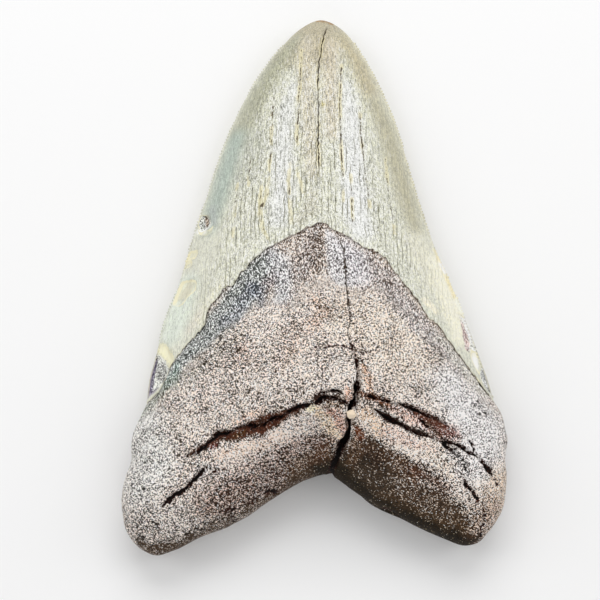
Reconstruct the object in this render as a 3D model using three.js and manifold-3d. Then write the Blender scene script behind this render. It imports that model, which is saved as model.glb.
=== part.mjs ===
// A fossil megalodon tooth, lying on its flat labial face with its rounded lingual face up, and the grain of gravel
// that is stuck in the crack of its root.
// Millimetres, +Z up. The tip points along +Y, the root's two lobes along -Y, and the origin is under the middle of
// the tooth on the surface that it lies on.
// The tooth is one solid: a lingual and a labial skin that meet at one rim, cut by the cracks, chips and pits that
// the fossil has.

import * as THREE from "three";
import { mergeVertices } from "three/addons/utils/BufferGeometryUtils.js";
import Module from "manifold-3d";

const wasm = await Module();
wasm.setup();

// Driving dimensions

const TIP_Y = 65.3; // the tooth is 130.6 long from the tip to the lower lobe
const ROOT_RIM_HEIGHT = 9; // the rim's height over the surface beside the root
const CROWN_RIM_HEIGHT = 4.8; // and along the crown's cutting edges
const CREST_HEIGHT = 18.6; // the lingual face's middle where the enamel starts
const LOBE_HEIGHT = 19.5; // the lingual face over the two lobes
const BOSS_RISE = 7.6; // what the boss around the nutrient hole adds to that
const BOSS = [2.5, -31]; // the middle of that boss
const LABIAL_FLATNESS = 1.12; // over 1, the middle of the labial face is flat
const ENAMEL_STEP = 0.5; // the enamel's edge stands this far over the root
const GRAIN_SIZE = 2.1; // the gravel grain's mean diameter
const GRAIN_GAP = 0.3; // between the grain and the hole that it is stuck in

const COLUMNS = 40; // cells across the lingual face; the labial face has half as many
const ROOT_ROWS = 22;
const CROWN_ROWS = 22;

// Outline, seen from above. The four sides meet at the lobes' outer shoulders and beside the tip.

const LEFT_ROOT_SIDE = [
  [-43.7, -54.8], [-43.4, -51], [-42.5, -47.3], [-41.6, -44.3],
  [-41.8, -40.9], [-41.2, -37.2], [-40, -33.8], [-38.9, -30.8],
];
const LEFT_CUTTING_EDGE = [
  [-38.9, -30.8], [-38.5, -24.7], [-37.1, -18.9], [-35.2, -10.7], [-32.4, -2.9], [-30.2, 5.4],
  [-28, 12.9], [-25.7, 20.2], [-22.3, 31.6], [-17.3, 44], [-11.6, 53.9], [-5.7, 61.3],
];
const RIGHT_ROOT_SIDE = [
  [43.7, -49.5], [43.5, -47.3], [43, -44.6], [43.2, -42.3],
  [43.7, -39.6], [43.3, -36.7], [42.7, -33.4], [41.4, -30.6],
];
const RIGHT_CUTTING_EDGE = [
  [41.4, -30.6], [40.1, -24.7], [38.2, -18.9], [35.2, -10.2], [31.9, -1.5], [28.3, 7.4],
  [25.4, 16.4], [22.9, 25.5], [19.7, 37.8], [14.7, 50.2], [11.5, 56.3], [8.7, 60.7],
];
const BASE = [
  [-43.7, -54.8], [-42.5, -59.9], [-39.9, -63.4], [-35.7, -65.3], [-31.4, -64.2], [-26, -61.5],
  [-20.6, -59.3], [-15.2, -56.6], [-10.2, -53], [-5.7, -50.2], [-1.6, -48.2], [1.9, -47.1],
  [3.9, -47.5], [6.6, -49.1], [10.3, -51.8], [13.9, -54.5], [19.3, -57], [24.7, -59.7],
  [30.1, -62.1], [33.7, -63], [36.9, -62.3], [40, -59], [42.5, -54.9], [43.7, -49.5],
];
const TIP = [
  [-5.7, 61.3], [-2.7, 63.7], [0.7, TIP_Y], [3.7, 64.8], [6.6, 62.9], [8.7, 60.7],
];

// The enamel's lower edge on each face, from the left cutting edge to the right one.

const LINGUAL_ENAMEL = [
  [-38.9, -30.8], [-36.1, -27.5], [-33.4, -23.4], [-29.5, -18.9], [-27, -15.4], [-24.8, -11.8],
  [-21.8, -6], [-18.4, -2.3], [-16.1, -0.2], [-11.3, 3.9], [-6.9, 5.8], [-2.5, 8.2], [2.1, 9.4],
  [7.1, 6.1], [11.7, 3.1], [14.5, 1.9], [17, 0.2], [19.2, -2.3], [21.1, -4.8], [25.5, -10.1],
  [28.9, -13.9], [32.4, -18.5], [36.1, -23], [38.2, -25.6], [41.4, -30.6],
];
const LABIAL_ENAMEL = [
  [-38.9, -30.8], [-33, -31.5], [-24, -28], [-13, -22.5], [0, -19.5],
  [13, -22], [25, -27.5], [35, -31.3], [41.4, -30.6],
];

const curve = (points) => new THREE.SplineCurve(points.map(([x, y]) => new THREE.Vector2(x, y)));
const smooth = THREE.MathUtils.smoothstep;
const bump = (offset, width) => Math.exp(-((offset / width) ** 2));

// A smooth value through [place, value] pairs.
function profile(pairs) {
  return (place) => {
    const next = Math.max(1, pairs.findIndex(([at]) => at >= place));
    const [[a, low], [b, high]] = [pairs[next - 1], pairs[next]];
    return THREE.MathUtils.lerp(low, high, smooth(place, a, b));
  };
}

// Each face is a sheet with across from 0 at its left rim to 1 at its right rim, and along from 0 at the base, through
// 1 at the enamel's edge, to 2 at the tip.

const faces = {
  lingual: curve(LINGUAL_ENAMEL),
  labial: curve(LABIAL_ENAMEL),
};
const base = curve(BASE);
const tip = curve(TIP);
const sides = {
  root: [curve(LEFT_ROOT_SIDE), curve(RIGHT_ROOT_SIDE)],
  crown: [curve(LEFT_CUTTING_EDGE), curve(RIGHT_CUTTING_EDGE)],
};

// The point of a four-sided patch that its four edges span.
function patchPoint(low, high, left, right, across, along) {
  const ruled = low.getPoint(across).lerp(high.getPoint(across), along);
  const sideways = left.getPoint(along).lerp(right.getPoint(along), across);
  const corners = low.getPoint(0).lerp(high.getPoint(0), along)
    .lerp(low.getPoint(1).lerp(high.getPoint(1), along), across);
  return ruled.add(sideways).sub(corners);
}

function planPoint(face, across, along) {
  return along <= 1
    ? patchPoint(base, faces[face], ...sides.root, across, along)
    : patchPoint(faces[face], tip, ...sides.crown, across, along - 1);
}

const rimHeight = profile([
  [0, 7], [0.3, ROOT_RIM_HEIGHT], [0.8, 8], [1.15, CROWN_RIM_HEIGHT], [2, CROWN_RIM_HEIGHT],
]);
const crestHeight = profile([
  [0, LOBE_HEIGHT - 2], [0.35, LOBE_HEIGHT], [0.7, 19.2], [1, CREST_HEIGHT],
  [1.3, 15.2], [1.6, 11.4], [1.85, 8.2], [2, 6.4],
]);

// How full a face is from rim to rim: the root is round at its sides, and the crown thins to a cutting edge.
function fullness(across, along, rootPower, crownPower) {
  const crown = smooth(along, 0.5, 1.2);
  const power = THREE.MathUtils.lerp(rootPower, crownPower, crown);
  const inside = 1 - Math.abs(2 * across - 1) ** THREE.MathUtils.lerp(2.6, 2, crown);
  return Math.max(0, inside) ** power;
}

// The round turn of the root's base, and the last taper to the rim at the tip.
function endTurn(along, turn) {
  const fromBase = Math.min(1, along / turn);
  const fromTip = Math.min(1, (2 - along) / 0.16);
  return Math.sqrt(1 - (1 - fromBase) ** 2) * fromTip ** 0.7;
}

function lingualHeight(across, along) {
  const { x, y } = planPoint("lingual", across, along);
  const rim = rimHeight(along);
  const boss = BOSS_RISE * bump(x - BOSS[0], 20) * bump(y - BOSS[1], 15);
  const lobes = 1.5 * (bump(across - 0.1, 0.12) + bump(across - 0.9, 0.12)) * bump(along - 0.2, 0.3);
  const ridge = 0.7 * bump(across - 0.5, 0.09) * bump(along - 0.9, 0.35);
  const full = fullness(across, along, 0.5, 0.86);
  const rise = (crestHeight(along) - rim + boss + lobes + ridge) * full;
  const step = along > 1 ? ENAMEL_STEP * Math.min(1, full * 4) : 0;
  return rim + (rise + step) * endTurn(along, 0.3);
}

function labialHeight(across, along) {
  const hollow = 1.5 * bump(across - 0.5, 0.17) * bump(along - 0.95, 0.3) - 0.2;
  const drop = rimHeight(along) * LABIAL_FLATNESS * fullness(across, along, 0.5, 0.75) * endTurn(along, 0.22);
  return Math.max(0, rimHeight(along) - drop) + Math.max(0, hollow);
}

// Cells gather towards the rim, where the root turns fastest.
const acrossAt = (share) => THREE.MathUtils.lerp(share, 0.5 - 0.5 * Math.cos(Math.PI * share), 0.7);
const stepTop = 1.006; // the enamel's step is this steep
const alongRows = [
  ...Array.from({ length: ROOT_ROWS }, (_, row) => (row / ROOT_ROWS) ** 1.5),
  1,
  ...Array.from({ length: CROWN_ROWS },
    (_, row) => THREE.MathUtils.lerp(stepTop, 2, (row / (CROWN_ROWS - 1)) ** 0.9)),
];

// The whole tooth without its cracks and chips, as one closed surface.
function toothSurface() {
  const positions = [];
  const triangles = [];
  const addPoint = (face, across, along) => {
    const { x, y } = planPoint(face, across, along);
    const z = face === "lingual" ? lingualHeight(across, along) : labialHeight(across, along);
    return positions.push(x, y, z) / 3 - 1;
  };
  const lastRow = alongRows.length - 1;
  const lingual = alongRows.map((along) => Array.from({ length: COLUMNS + 1 },
    (_, column) => addPoint("lingual", acrossAt(column / COLUMNS), along)));
  const labial = alongRows.map((along, row) => Array.from({ length: COLUMNS / 2 + 1 }, (_, column) => {
    const onRim = row === 0 || row === lastRow || column === 0 || column === COLUMNS / 2;
    return onRim ? lingual[row][column * 2] : addPoint("labial", acrossAt((column * 2) / COLUMNS), along);
  }));
  for (let row = 0; row < lastRow; row++) {
    for (let column = 0; column < COLUMNS; column++) {
      const [a, b] = lingual[row].slice(column, column + 2);
      const [d, c] = lingual[row + 1].slice(column, column + 2);
      triangles.push(a, b, c, a, c, d);
    }
    for (let column = 0; column < COLUMNS / 2; column++) {
      const [a, b] = labial[row].slice(column, column + 2);
      const [d, c] = labial[row + 1].slice(column, column + 2);
      if (row === 0) {
        const middle = lingual[0][column * 2 + 1];
        triangles.push(a, d, middle, middle, d, c, middle, c, b);
      } else if (row === lastRow - 1) {
        const middle = lingual[lastRow][column * 2 + 1];
        triangles.push(a, middle, b, a, d, middle, b, middle, c);
      } else {
        triangles.push(a, c, b, a, d, c);
      }
    }
  }
  const geometry = new THREE.BufferGeometry();
  geometry.setAttribute("position", new THREE.Float32BufferAttribute(positions, 3));
  geometry.setIndex(triangles);
  return geometry;
}

const uncut = new THREE.Mesh(toothSurface());

// Where a vertical line meets the uncut lingual face, and which way the face looks there.
function onLingualFace(x, y) {
  const above = new THREE.Vector3(x, y, 100);
  const hit = new THREE.Raycaster(above, new THREE.Vector3(0, 0, -1)).intersectObject(uncut)[0];
  return { point: hit.point, normal: hit.face.normal.clone() };
}

// Boolean cuts

function solidOf(geometry) {
  const bare = geometry.clone();
  bare.deleteAttribute("normal");
  bare.deleteAttribute("uv");
  const merged = mergeVertices(bare, 1e-4);
  const vertProperties = new Float32Array(merged.attributes.position.array);
  const triVerts = new Uint32Array(merged.index.array);
  return new wasm.Manifold(new wasm.Mesh({ numProp: 3, vertProperties, triVerts }));
}

function geometryOf(solid) {
  const { vertProperties, triVerts } = solid.getMesh();
  const geometry = new THREE.BufferGeometry();
  geometry.setAttribute("position", new THREE.Float32BufferAttribute(vertProperties, 3));
  geometry.setIndex([...triVerts]);
  geometry.computeVertexNormals();
  return geometry;
}

// A V-shaped groove down the face, through [x, y, half of its width, depth] places.
function grooveCutter(places) {
  const lift = 0.8; // how far the cutter stands over the face
  const spots = places.map(([x, y, half, depth]) => ({ ...onLingualFace(x, y), half, depth }));
  const positions = spots.flatMap(({ point, normal, half, depth }, place) => {
    const before = spots[Math.max(0, place - 1)].point;
    const after = spots[Math.min(spots.length - 1, place + 1)].point;
    const sideways = after.clone().sub(before).cross(normal).normalize();
    const reach = half * (1 + lift / depth);
    return [
      point.clone().addScaledVector(normal, lift).addScaledVector(sideways, reach),
      point.clone().addScaledVector(normal, lift).addScaledVector(sideways, -reach),
      point.clone().addScaledVector(normal, -depth),
    ].flatMap((corner) => corner.toArray());
  });
  const triangles = [0, 1, 2];
  for (let ring = 0; ring < (spots.length - 1) * 3; ring += 3) {
    for (let corner = 0; corner < 3; corner++) {
      const [a, b] = [ring + corner, ring + ((corner + 1) % 3)];
      triangles.push(a, a + 3, b, b, a + 3, b + 3);
    }
  }
  const end = (spots.length - 1) * 3;
  triangles.push(end, end + 2, end + 1);
  const geometry = new THREE.BufferGeometry();
  geometry.setAttribute("position", new THREE.Float32BufferAttribute(positions, 3));
  geometry.setIndex(triangles);
  return geometry;
}

// A hole or a bite with the uneven walls of broken bone.
function scoopCutter([x, y, z], [radiusX, radiusY, radiusZ], turn = 0) {
  return new THREE.IcosahedronGeometry(1, 1).rotateZ(turn).scale(radiusX, radiusY, radiusZ).translate(x, y, z);
}

// A shallow flake off the face: [x, y], its half width and half length, its depth, and how the break is turned.
function flakeCutter([x, y], halfWidth, halfLength, depth, turn) {
  const radius = depth * 3;
  const { z } = onLingualFace(x, y).point;
  const stretch = 1 / Math.sqrt(1 - (1 - depth / radius) ** 2);
  return scoopCutter([x, y, z + radius - depth], [halfWidth * stretch, halfLength * stretch, radius], turn);
}

// Cracks of the root, as [x, y, half of the width, depth].

const ROOT_CRACKS = {
  hairline: [
    [6.7, 2, 0.2, 0.4], [7, -6, 0.25, 0.5], [7.7, -13, 0.25, 0.5], [7.2, -17, 0.2, 0.5], [7.7, -20.8, 0.25, 0.6],
  ],
  split: [
    [7.7, -20.6, 0.2, 0.6], [8.6, -22.5, 0.35, 1.2], [9.4, -25.3, 0.4, 2], [9.6, -27.4, 0.5, 3],
    [9.2, -30, 0.7, 4], [9, -31.9, 0.9, 5], [8.2, -33.9, 1, 5.5], [7.8, -36.1, 0.9, 5],
    [7.4, -37.5, 0.7, 5], [7.1, -39.6, 0.6, 4.5], [6.5, -41.8, 0.8, 4], [5.3, -43, 1, 3.5],
    [4.7, -44.1, 0.9, 3], [4.1, -45.6, 0.7, 2.5], [3.7, -47, 0.6, 2],
  ],
  leftCrease: [
    [5.3, -32, 0.7, 1.6], [3.4, -32.3, 0.9, 2.2], [1.9, -33.2, 0.9, 2.2], [-1, -34.4, 0.5, 1.2],
    [-3.6, -34.8, 0.7, 1.8], [-6.3, -36, 1, 2.2], [-8.6, -36.9, 1.1, 2.4], [-11.3, -37.5, 1.2, 2.4],
    [-14.6, -38.5, 1.3, 2.2], [-18.1, -39.4, 1.2, 2], [-21.5, -40.3, 0.9, 1.5], [-23.5, -41.6, 0.6, 1],
    [-25.9, -43.2, 0.4, 0.7], [-28, -44, 0.2, 0.4],
  ],
  leftLower: [
    [-23.4, -46.2, 0.25, 0.4], [-26.1, -49.1, 0.7, 1.2], [-28.9, -52, 0.6, 1], [-30.9, -52.9, 0.6, 1],
    [-32.5, -54.2, 0.2, 0.4],
  ],
  rightCrease: [
    [10, -31.2, 0.8, 2], [12.7, -32.2, 1.1, 2.2], [15.4, -33, 1.3, 2.2], [18.2, -34.3, 1.5, 2],
    [21.5, -36, 1.6, 2], [24.3, -37.8, 1.5, 1.8], [26.6, -39.3, 1.3, 1.6], [29.1, -40.5, 1, 1.3],
    [31.8, -41.5, 0.5, 0.7],
  ],
  rightSecond: [
    [13.4, -34.9, 0.4, 0.8], [15.5, -36.3, 0.6, 1.3], [16.8, -37.2, 0.7, 1.5], [19.5, -38.8, 0.6, 1.4],
    [21.9, -39.9, 0.6, 1.4], [25, -41.2, 0.5, 1.2], [28, -42.1, 0.8, 1.6], [30.4, -42.7, 0.7, 1.5],
    [32.5, -42.9, 0.6, 1.3], [34.9, -43.8, 0.6, 1.4], [36.2, -44.9, 0.6, 1.3], [38, -46.4, 0.7, 1.3],
    [39, -47.9, 0.5, 1], [39.9, -49.5, 0.2, 0.4],
  ],
  rightLower: [
    [32.7, -49.5, 0.3, 0.5], [33.7, -51.4, 0.6, 1], [35.2, -53.1, 0.5, 0.9], [36.2, -54.6, 0.3, 0.6],
    [37, -57.4, 0.25, 0.5], [36.9, -59.6, 0.15, 0.4],
  ],
};

// Cracks along the enamel, which run towards the tip.

const ENAMEL_CRACK = [0.28, 0.5]; // half of the width, and depth
const ENAMEL_CRACKS = {
  middle: [[2, 60.6], [1.5, 54.3], [0.7, 48.7], [1, 41.8], [0.9, 31.2], [1, 24.5], [1.2, 19]],
  left: [[-3.6, 52.9], [-3.8, 39.2], [-4, 31.3], [-3.6, 22]],
  right: [[6.3, 50.4], [6, 36.7], [6.1, 22]],
  farLeft: [[-10.3, 40.2], [-10.4, 29], [-9.6, 18.4]],
  farRight: [[11, 38.6], [11.4, 29.4], [11.9, 18.6]],
};

const scoops = [
  scoopCutter([8.4, -33.6, 26.5], [1.8, 2.3, 4.5]), // the nutrient hole
  scoopCutter([-29.4, 13.4, 5], [3.1, 3.3, 4.5]), // a bite out of the left cutting edge
  scoopCutter([2.6, 65.4, 5.4], [1.3, 1, 1.6]), // the worn tip
  scoopCutter([-9.2, -51.7, 10.4], [1.3, 0.9, 1.3]),
  scoopCutter([-18.1, -58.4, 8.5], [0.9, 1.3, 2]),
  scoopCutter([16.4, -56.6, 7], [1.6, 1, 2]),
];

const flakes = [
  flakeCutter([-31, -4.9], 2.6, 3.2, 0.6, 0.4),
  flakeCutter([-29.6, 4.6], 1.6, 2.6, 0.5, 1.1),
  flakeCutter([-34.8, -19], 2.2, 3.4, 0.6, 0.2),
  flakeCutter([-38, -25.6], 1.6, 5, 0.7, 0.7),
  flakeCutter([35.6, -16], 1.4, 3.4, 0.5, 0.5),
  flakeCutter([37.2, -21.4], 2, 3.4, 0.6, 0.9),
  flakeCutter([39.8, -25.8], 1.2, 2.6, 0.5, 0.1),
];

// The grain is an angular pebble, wider than it is thick.
function grainGeometry(size) {
  const geometry = new THREE.DodecahedronGeometry(size / 2, 0).scale(1.04, 1, 0.86);
  return geometry.rotateX(0.5).rotateY(0.3).rotateZ(0.4);
}

const grainPlace = new THREE.Vector3(7.9, -36.2, 25.1);
const grainSeat = grainGeometry(GRAIN_SIZE + 2 * GRAIN_GAP).translate(...grainPlace);

const cuts = [
  ...Object.values(ROOT_CRACKS).map(grooveCutter),
  ...Object.values(ENAMEL_CRACKS).map((places) => grooveCutter(places.map((place) => [...place, ...ENAMEL_CRACK]))),
  ...scoops,
  ...flakes,
  grainSeat,
];

const toothSolid = cuts.reduce((solid, cutter) => solid.subtract(solidOf(cutter)), solidOf(uncut.geometry));

const tooth = new THREE.Mesh(
  geometryOf(toothSolid),
  new THREE.MeshStandardMaterial({ color: 0xa59a8c, roughness: 0.7, metalness: 0 }),
);
tooth.name = "tooth";

const grain = new THREE.Mesh(
  grainGeometry(GRAIN_SIZE),
  new THREE.MeshStandardMaterial({ color: 0xdcc8ae, roughness: 0.6, metalness: 0 }),
);
grain.name = "gravel_grain";
grain.position.copy(grainPlace);

export default new THREE.Group().add(tooth, grain);
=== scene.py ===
"""The looks of a fossil megalodon tooth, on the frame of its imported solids. Metres, +Z up, the tip along +Y."""

import bmesh
import bpy
import numpy as np
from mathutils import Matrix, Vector, noise


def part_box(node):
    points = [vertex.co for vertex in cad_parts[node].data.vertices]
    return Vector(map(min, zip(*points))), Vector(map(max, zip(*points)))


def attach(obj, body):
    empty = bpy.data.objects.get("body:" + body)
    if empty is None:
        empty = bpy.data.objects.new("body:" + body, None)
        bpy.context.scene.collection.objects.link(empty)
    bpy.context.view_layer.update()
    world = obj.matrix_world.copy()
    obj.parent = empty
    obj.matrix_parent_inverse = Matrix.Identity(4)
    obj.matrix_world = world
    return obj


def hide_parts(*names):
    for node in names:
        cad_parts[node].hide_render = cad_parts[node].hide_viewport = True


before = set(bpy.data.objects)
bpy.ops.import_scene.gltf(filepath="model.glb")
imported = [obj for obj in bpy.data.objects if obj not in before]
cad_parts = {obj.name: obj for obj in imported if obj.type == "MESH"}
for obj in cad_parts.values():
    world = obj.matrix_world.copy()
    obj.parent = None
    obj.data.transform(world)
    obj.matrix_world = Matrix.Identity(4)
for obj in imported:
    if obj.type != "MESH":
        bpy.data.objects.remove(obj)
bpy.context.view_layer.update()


# The tooth.
# One piece that grew as one: a crown of enamel over dentine, and a thick root of bone with two lobes. Burial has
# stained it, split its root at the nutrient hole, opened cracks along its enamel and flaked its cutting edges.
# It lies on its flatter labial face, with the rounded lingual face up.

MM = 0.001

COLUMNS = 200  # cells across the lingual face; the labial face has half as many
ROOT_ROWS = 128
CROWN_ROWS = 168

# Its outline from above, in millimetres. The four sides meet at the lobes' shoulders and beside the tip.
LEFT_ROOT_SIDE = [
    (-43.7, -54.8), (-43.4, -51), (-42.5, -47.3), (-41.6, -44.3),
    (-41.8, -40.9), (-41.2, -37.2), (-40, -33.8), (-38.9, -30.8),
]
LEFT_CUTTING_EDGE = [
    (-38.9, -30.8), (-38.5, -24.7), (-37.1, -18.9), (-35.2, -10.7), (-32.4, -2.9), (-30.2, 5.4),
    (-28, 12.9), (-25.7, 20.2), (-22.3, 31.6), (-17.3, 44), (-11.6, 53.9), (-5.7, 61.3),
]
RIGHT_ROOT_SIDE = [
    (43.7, -49.5), (43.5, -47.3), (43, -44.6), (43.2, -42.3),
    (43.7, -39.6), (43.3, -36.7), (42.7, -33.4), (41.4, -30.6),
]
RIGHT_CUTTING_EDGE = [
    (41.4, -30.6), (40.1, -24.7), (38.2, -18.9), (35.2, -10.2), (31.9, -1.5), (28.3, 7.4),
    (25.4, 16.4), (22.9, 25.5), (19.7, 37.8), (14.7, 50.2), (11.5, 56.3), (8.7, 60.7),
]
BASE = [
    (-43.7, -54.8), (-42.5, -59.9), (-39.9, -63.4), (-35.7, -65.3), (-31.4, -64.2), (-26, -61.5),
    (-20.6, -59.3), (-15.2, -56.6), (-10.2, -53), (-5.7, -50.2), (-1.6, -48.2), (1.9, -47.1),
    (3.9, -47.5), (6.6, -49.1), (10.3, -51.8), (13.9, -54.5), (19.3, -57), (24.7, -59.7),
    (30.1, -62.1), (33.7, -63), (36.9, -62.3), (40, -59), (42.5, -54.9), (43.7, -49.5),
]
TIP = [(-5.7, 61.3), (-2.7, 63.7), (0.7, 65.3), (3.7, 64.8), (6.6, 62.9), (8.7, 60.7)]

# The enamel's lower edge on each face.
LINGUAL_ENAMEL = [
    (-38.9, -30.8), (-36.1, -27.5), (-33.4, -23.4), (-29.5, -18.9), (-27, -15.4), (-24.8, -11.8),
    (-21.8, -6), (-18.4, -2.3), (-16.1, -0.2), (-11.3, 3.9), (-6.9, 5.8), (-2.5, 8.2), (2.1, 9.4),
    (7.1, 6.1), (11.7, 3.1), (14.5, 1.9), (17, 0.2), (19.2, -2.3), (21.1, -4.8), (25.5, -10.1),
    (28.9, -13.9), (32.4, -18.5), (36.1, -23), (38.2, -25.6), (41.4, -30.6),
]
# How high the torn enamel really ends, from one side of the tooth to the other.
TORN_ENAMEL = [
    (-38.9, -30.8), (-35.7, -28.7), (-34.1, -26.1), (-33.1, -23.3), (-30.8, -20.2), (-29.5, -18.8), (-28.1, -17.4),
    (-26.5, -15.7), (-24.9, -14.3), (-24.7, -11.9), (-24.3, -10.7), (-23.7, -9.3), (-21.8, -7.9), (-21.3, -6.4),
    (-20.7, -5.9), (-19.5, -4.9), (-19.2, -5.7), (-18.2, -4.6), (-17.6, -3.8), (-17.1, -2.6), (-15.4, -1.1),
    (-14.6, 0), (-13.5, 1.2), (-12.2, 2.1), (-10.8, 3.5), (-8.7, 4), (-7.2, 5), (-5.3, 5.9), (-3.8, 6.6),
    (-1.9, 7.8), (0, 8.4), (1.3, 9.1), (2.5, 8.8), (3.8, 7.6), (5.9, 6.2), (8, 5.2), (9.5, 4.4), (11.4, 3.1),
    (13.3, 2.7), (15.2, 1.7), (17.1, -0.3), (18.2, -2.2), (20.1, -4.4), (22, -6.8), (23.7, -8.9), (25, -11.3),
    (25.7, -12.4), (27.7, -13.8), (29.2, -15.4), (30.2, -17.2), (31.5, -18.8), (32.5, -20.4), (34.2, -22.3),
    (36.6, -25.4), (38.8, -27.9), (41.4, -30.6),
]
LABIAL_ENAMEL = [
    (-38.9, -30.8), (-33, -31.5), (-24, -28), (-13, -22.5), (0, -19.5),
    (13, -22), (25, -27.5), (35, -31.3), (41.4, -30.6),
]

# Heights in millimetres along each face, from the base at 0, through the enamel's edge at 1, to the tip at 2.
RIM_HEIGHT = [(0, 7), (0.3, 9), (0.8, 8), (1.15, 4.8), (2, 4.8)]
CREST_HEIGHT = [(0, 17.5), (0.35, 19.5), (0.7, 19.2), (1, 18.6), (1.3, 15.2), (1.6, 11.4), (1.85, 8.2), (2, 6.4)]
BOSS_RISE = 7.6
BOSS = (2.5, -31)
ENAMEL_STEP = 0.5
STEP_TOP = 1.006
LABIAL_FLATNESS = 1.12


def curve(points):
    """A smooth line through the points, read at any share of its way."""
    inner = np.array(points, float)
    points = np.vstack([inner[:1], inner, inner[-1:]])

    def at(share):
        place = np.clip(share, 0, 1) * (len(inner) - 1)
        first = np.minimum(np.floor(place).astype(int), len(inner) - 2)
        t = (place - first)[..., None]
        a, b, c, d = (points[first + step] for step in range(4))
        return b + 0.5 * t * (c - a + t * (2 * a - 5 * b + 4 * c - d + t * (3 * (b - c) + d - a)))

    return at


def smooth(low, high, value):
    share = np.clip((value - low) / (high - low), 0, 1)
    return share * share * (3 - 2 * share)


def profile(pairs, place):
    """A smooth value through (place, value) pairs."""
    places, values = np.array(pairs, float).T
    upper = np.clip(np.searchsorted(places, place), 1, len(places) - 1)
    return values[upper - 1] + (values[upper] - values[upper - 1]) * smooth(places[upper - 1], places[upper], place)


def bump(offset, width):
    return np.exp(-((offset / width) ** 2))


def spread(count, density):
    """Places from 0 to 1, closer together where density is high."""
    place = np.linspace(0, 1, 4001)
    weight = density(place)
    share = np.concatenate([[0], np.cumsum((weight[1:] + weight[:-1]) / 2)])
    return np.interp(np.linspace(0, 1, count + 1), share / share[-1], place)


def patch(low, high, left, right, across, along):
    """The point of a four-sided patch that its four edges span."""
    a, b = across[..., None], along[..., None]
    zero, one = np.zeros(1), np.ones(1)
    ruled = (1 - b) * low(across) + b * high(across)
    sideways = (1 - a) * left(along) + a * right(along)
    bottom = (1 - a) * low(zero) + a * low(one)
    top = (1 - a) * high(zero) + a * high(one)
    return ruled + sideways - (1 - b) * bottom - b * top


base, tip = curve(BASE), curve(TIP)
root_sides = curve(LEFT_ROOT_SIDE), curve(RIGHT_ROOT_SIDE)
crown_sides = curve(LEFT_CUTTING_EDGE), curve(RIGHT_CUTTING_EDGE)


def plan(enamel_edge, across, along):
    root = patch(base, enamel_edge, *root_sides, across, np.minimum(along, 1))
    crown = patch(enamel_edge, tip, *crown_sides, across, np.maximum(along, 1) - 1)
    return np.where(along[..., None] <= 1, root, crown)


def fullness(across, along, root_power, crown_power):
    """The root is round at its sides, and the crown thins to a cutting edge."""
    crown = smooth(0.5, 1.2, along)
    inside = 1 - np.abs(2 * across - 1) ** (2.6 + (2 - 2.6) * crown)
    return np.maximum(0, inside) ** (root_power + (crown_power - root_power) * crown)


def end_turn(along, turn):
    from_base = np.minimum(1, along / turn)
    from_tip = np.minimum(1, (2 - along) / 0.16)
    return np.sqrt(1 - (1 - from_base) ** 2) * from_tip**0.7


def lingual_height(across, along, x, y):
    rim = profile(RIM_HEIGHT, along)
    boss = BOSS_RISE * bump(x - BOSS[0], 20) * bump(y - BOSS[1], 15)
    lobes = 1.5 * (bump(across - 0.1, 0.12) + bump(across - 0.9, 0.12)) * bump(along - 0.2, 0.3)
    ridge = 0.7 * bump(across - 0.5, 0.09) * bump(along - 0.9, 0.35)
    full = fullness(across, along, 0.5, 0.86)
    rise = (profile(CREST_HEIGHT, along) - rim + boss + lobes + ridge) * full
    step = ENAMEL_STEP * np.minimum(1, full * 4) * (along > 1)
    return rim + (rise + step) * end_turn(along, 0.3)


def labial_height(across, along):
    rim = profile(RIM_HEIGHT, along)
    hollow = 1.5 * bump(across - 0.5, 0.17) * bump(along - 0.95, 0.3) - 0.2
    drop = rim * LABIAL_FLATNESS * fullness(across, along, 0.5, 0.75) * end_turn(along, 0.22)
    return np.maximum(0, rim - drop) + np.maximum(0, hollow)


def torn_enamel(share):
    """The enamel's lower edge with its tears, and with the small steps in which it broke along its growth."""
    edge_x = curve(LINGUAL_ENAMEL)(share)[..., 0]
    torn_y = np.interp(edge_x, *np.array(TORN_ENAMEL).T)
    steps = np.reshape([noise.cell(Vector((px * 1.7, 3.1, 0))) for px in np.ravel(edge_x)], np.shape(edge_x))
    window = np.minimum(1, 12 * np.minimum(share, 1 - share))
    return np.stack([edge_x, torn_y + 0.3 * steps * window], -1)


# Cells gather at the rim, the base, the split and the creases.
columns = spread(COLUMNS, lambda a: 0.55 + 0.25 / np.sqrt(a * (1 - a) + 1e-4) + 1.1 * bump(a - 0.6, 0.05))
root_rows = spread(ROOT_ROWS, lambda a: 0.7 + 0.25 / np.sqrt(a + 1e-4) + 0.9 * bump(a - 0.42, 0.14))
crown_rows = spread(CROWN_ROWS - 1, lambda a: 1 + 0.8 * bump(a - 1, 0.06))
rows = np.concatenate([root_rows, STEP_TOP + (2 - STEP_TOP) * crown_rows])

across, along = (grid.T for grid in np.meshgrid(columns, rows, indexing="ij"))
lingual_xy = plan(torn_enamel, across, along)
lingual = np.dstack([lingual_xy, lingual_height(across, along, lingual_xy[..., 0], lingual_xy[..., 1])])
labial_across, labial_along = across[:, ::2], along[:, ::2]
labial_xy = plan(curve(LABIAL_ENAMEL), labial_across, labial_along)
labial = np.dstack([labial_xy, labial_height(labial_across, labial_along)])

# Both faces share the points of the rim.
row_count, column_count = across.shape
lingual_ids = np.arange(across.size).reshape(across.shape)
inner = np.zeros(labial_across.shape, bool)
inner[1:-1, 1:-1] = True
labial_ids = lingual_ids[:, ::2].copy()
labial_ids[inner] = across.size + np.arange(inner.sum())

points = np.vstack([lingual.reshape(-1, 3), labial[inner]])
sheet = np.vstack([
    np.stack([across.ravel(), along.ravel(), np.zeros(across.size)], 1),
    np.stack([labial_across[inner], labial_along[inner], np.ones(inner.sum())], 1),
])


def quads(ids):
    return np.stack([ids[:-1, :-1], ids[:-1, 1:], ids[1:, 1:], ids[1:, :-1]], -1).reshape(-1, 4)


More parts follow.
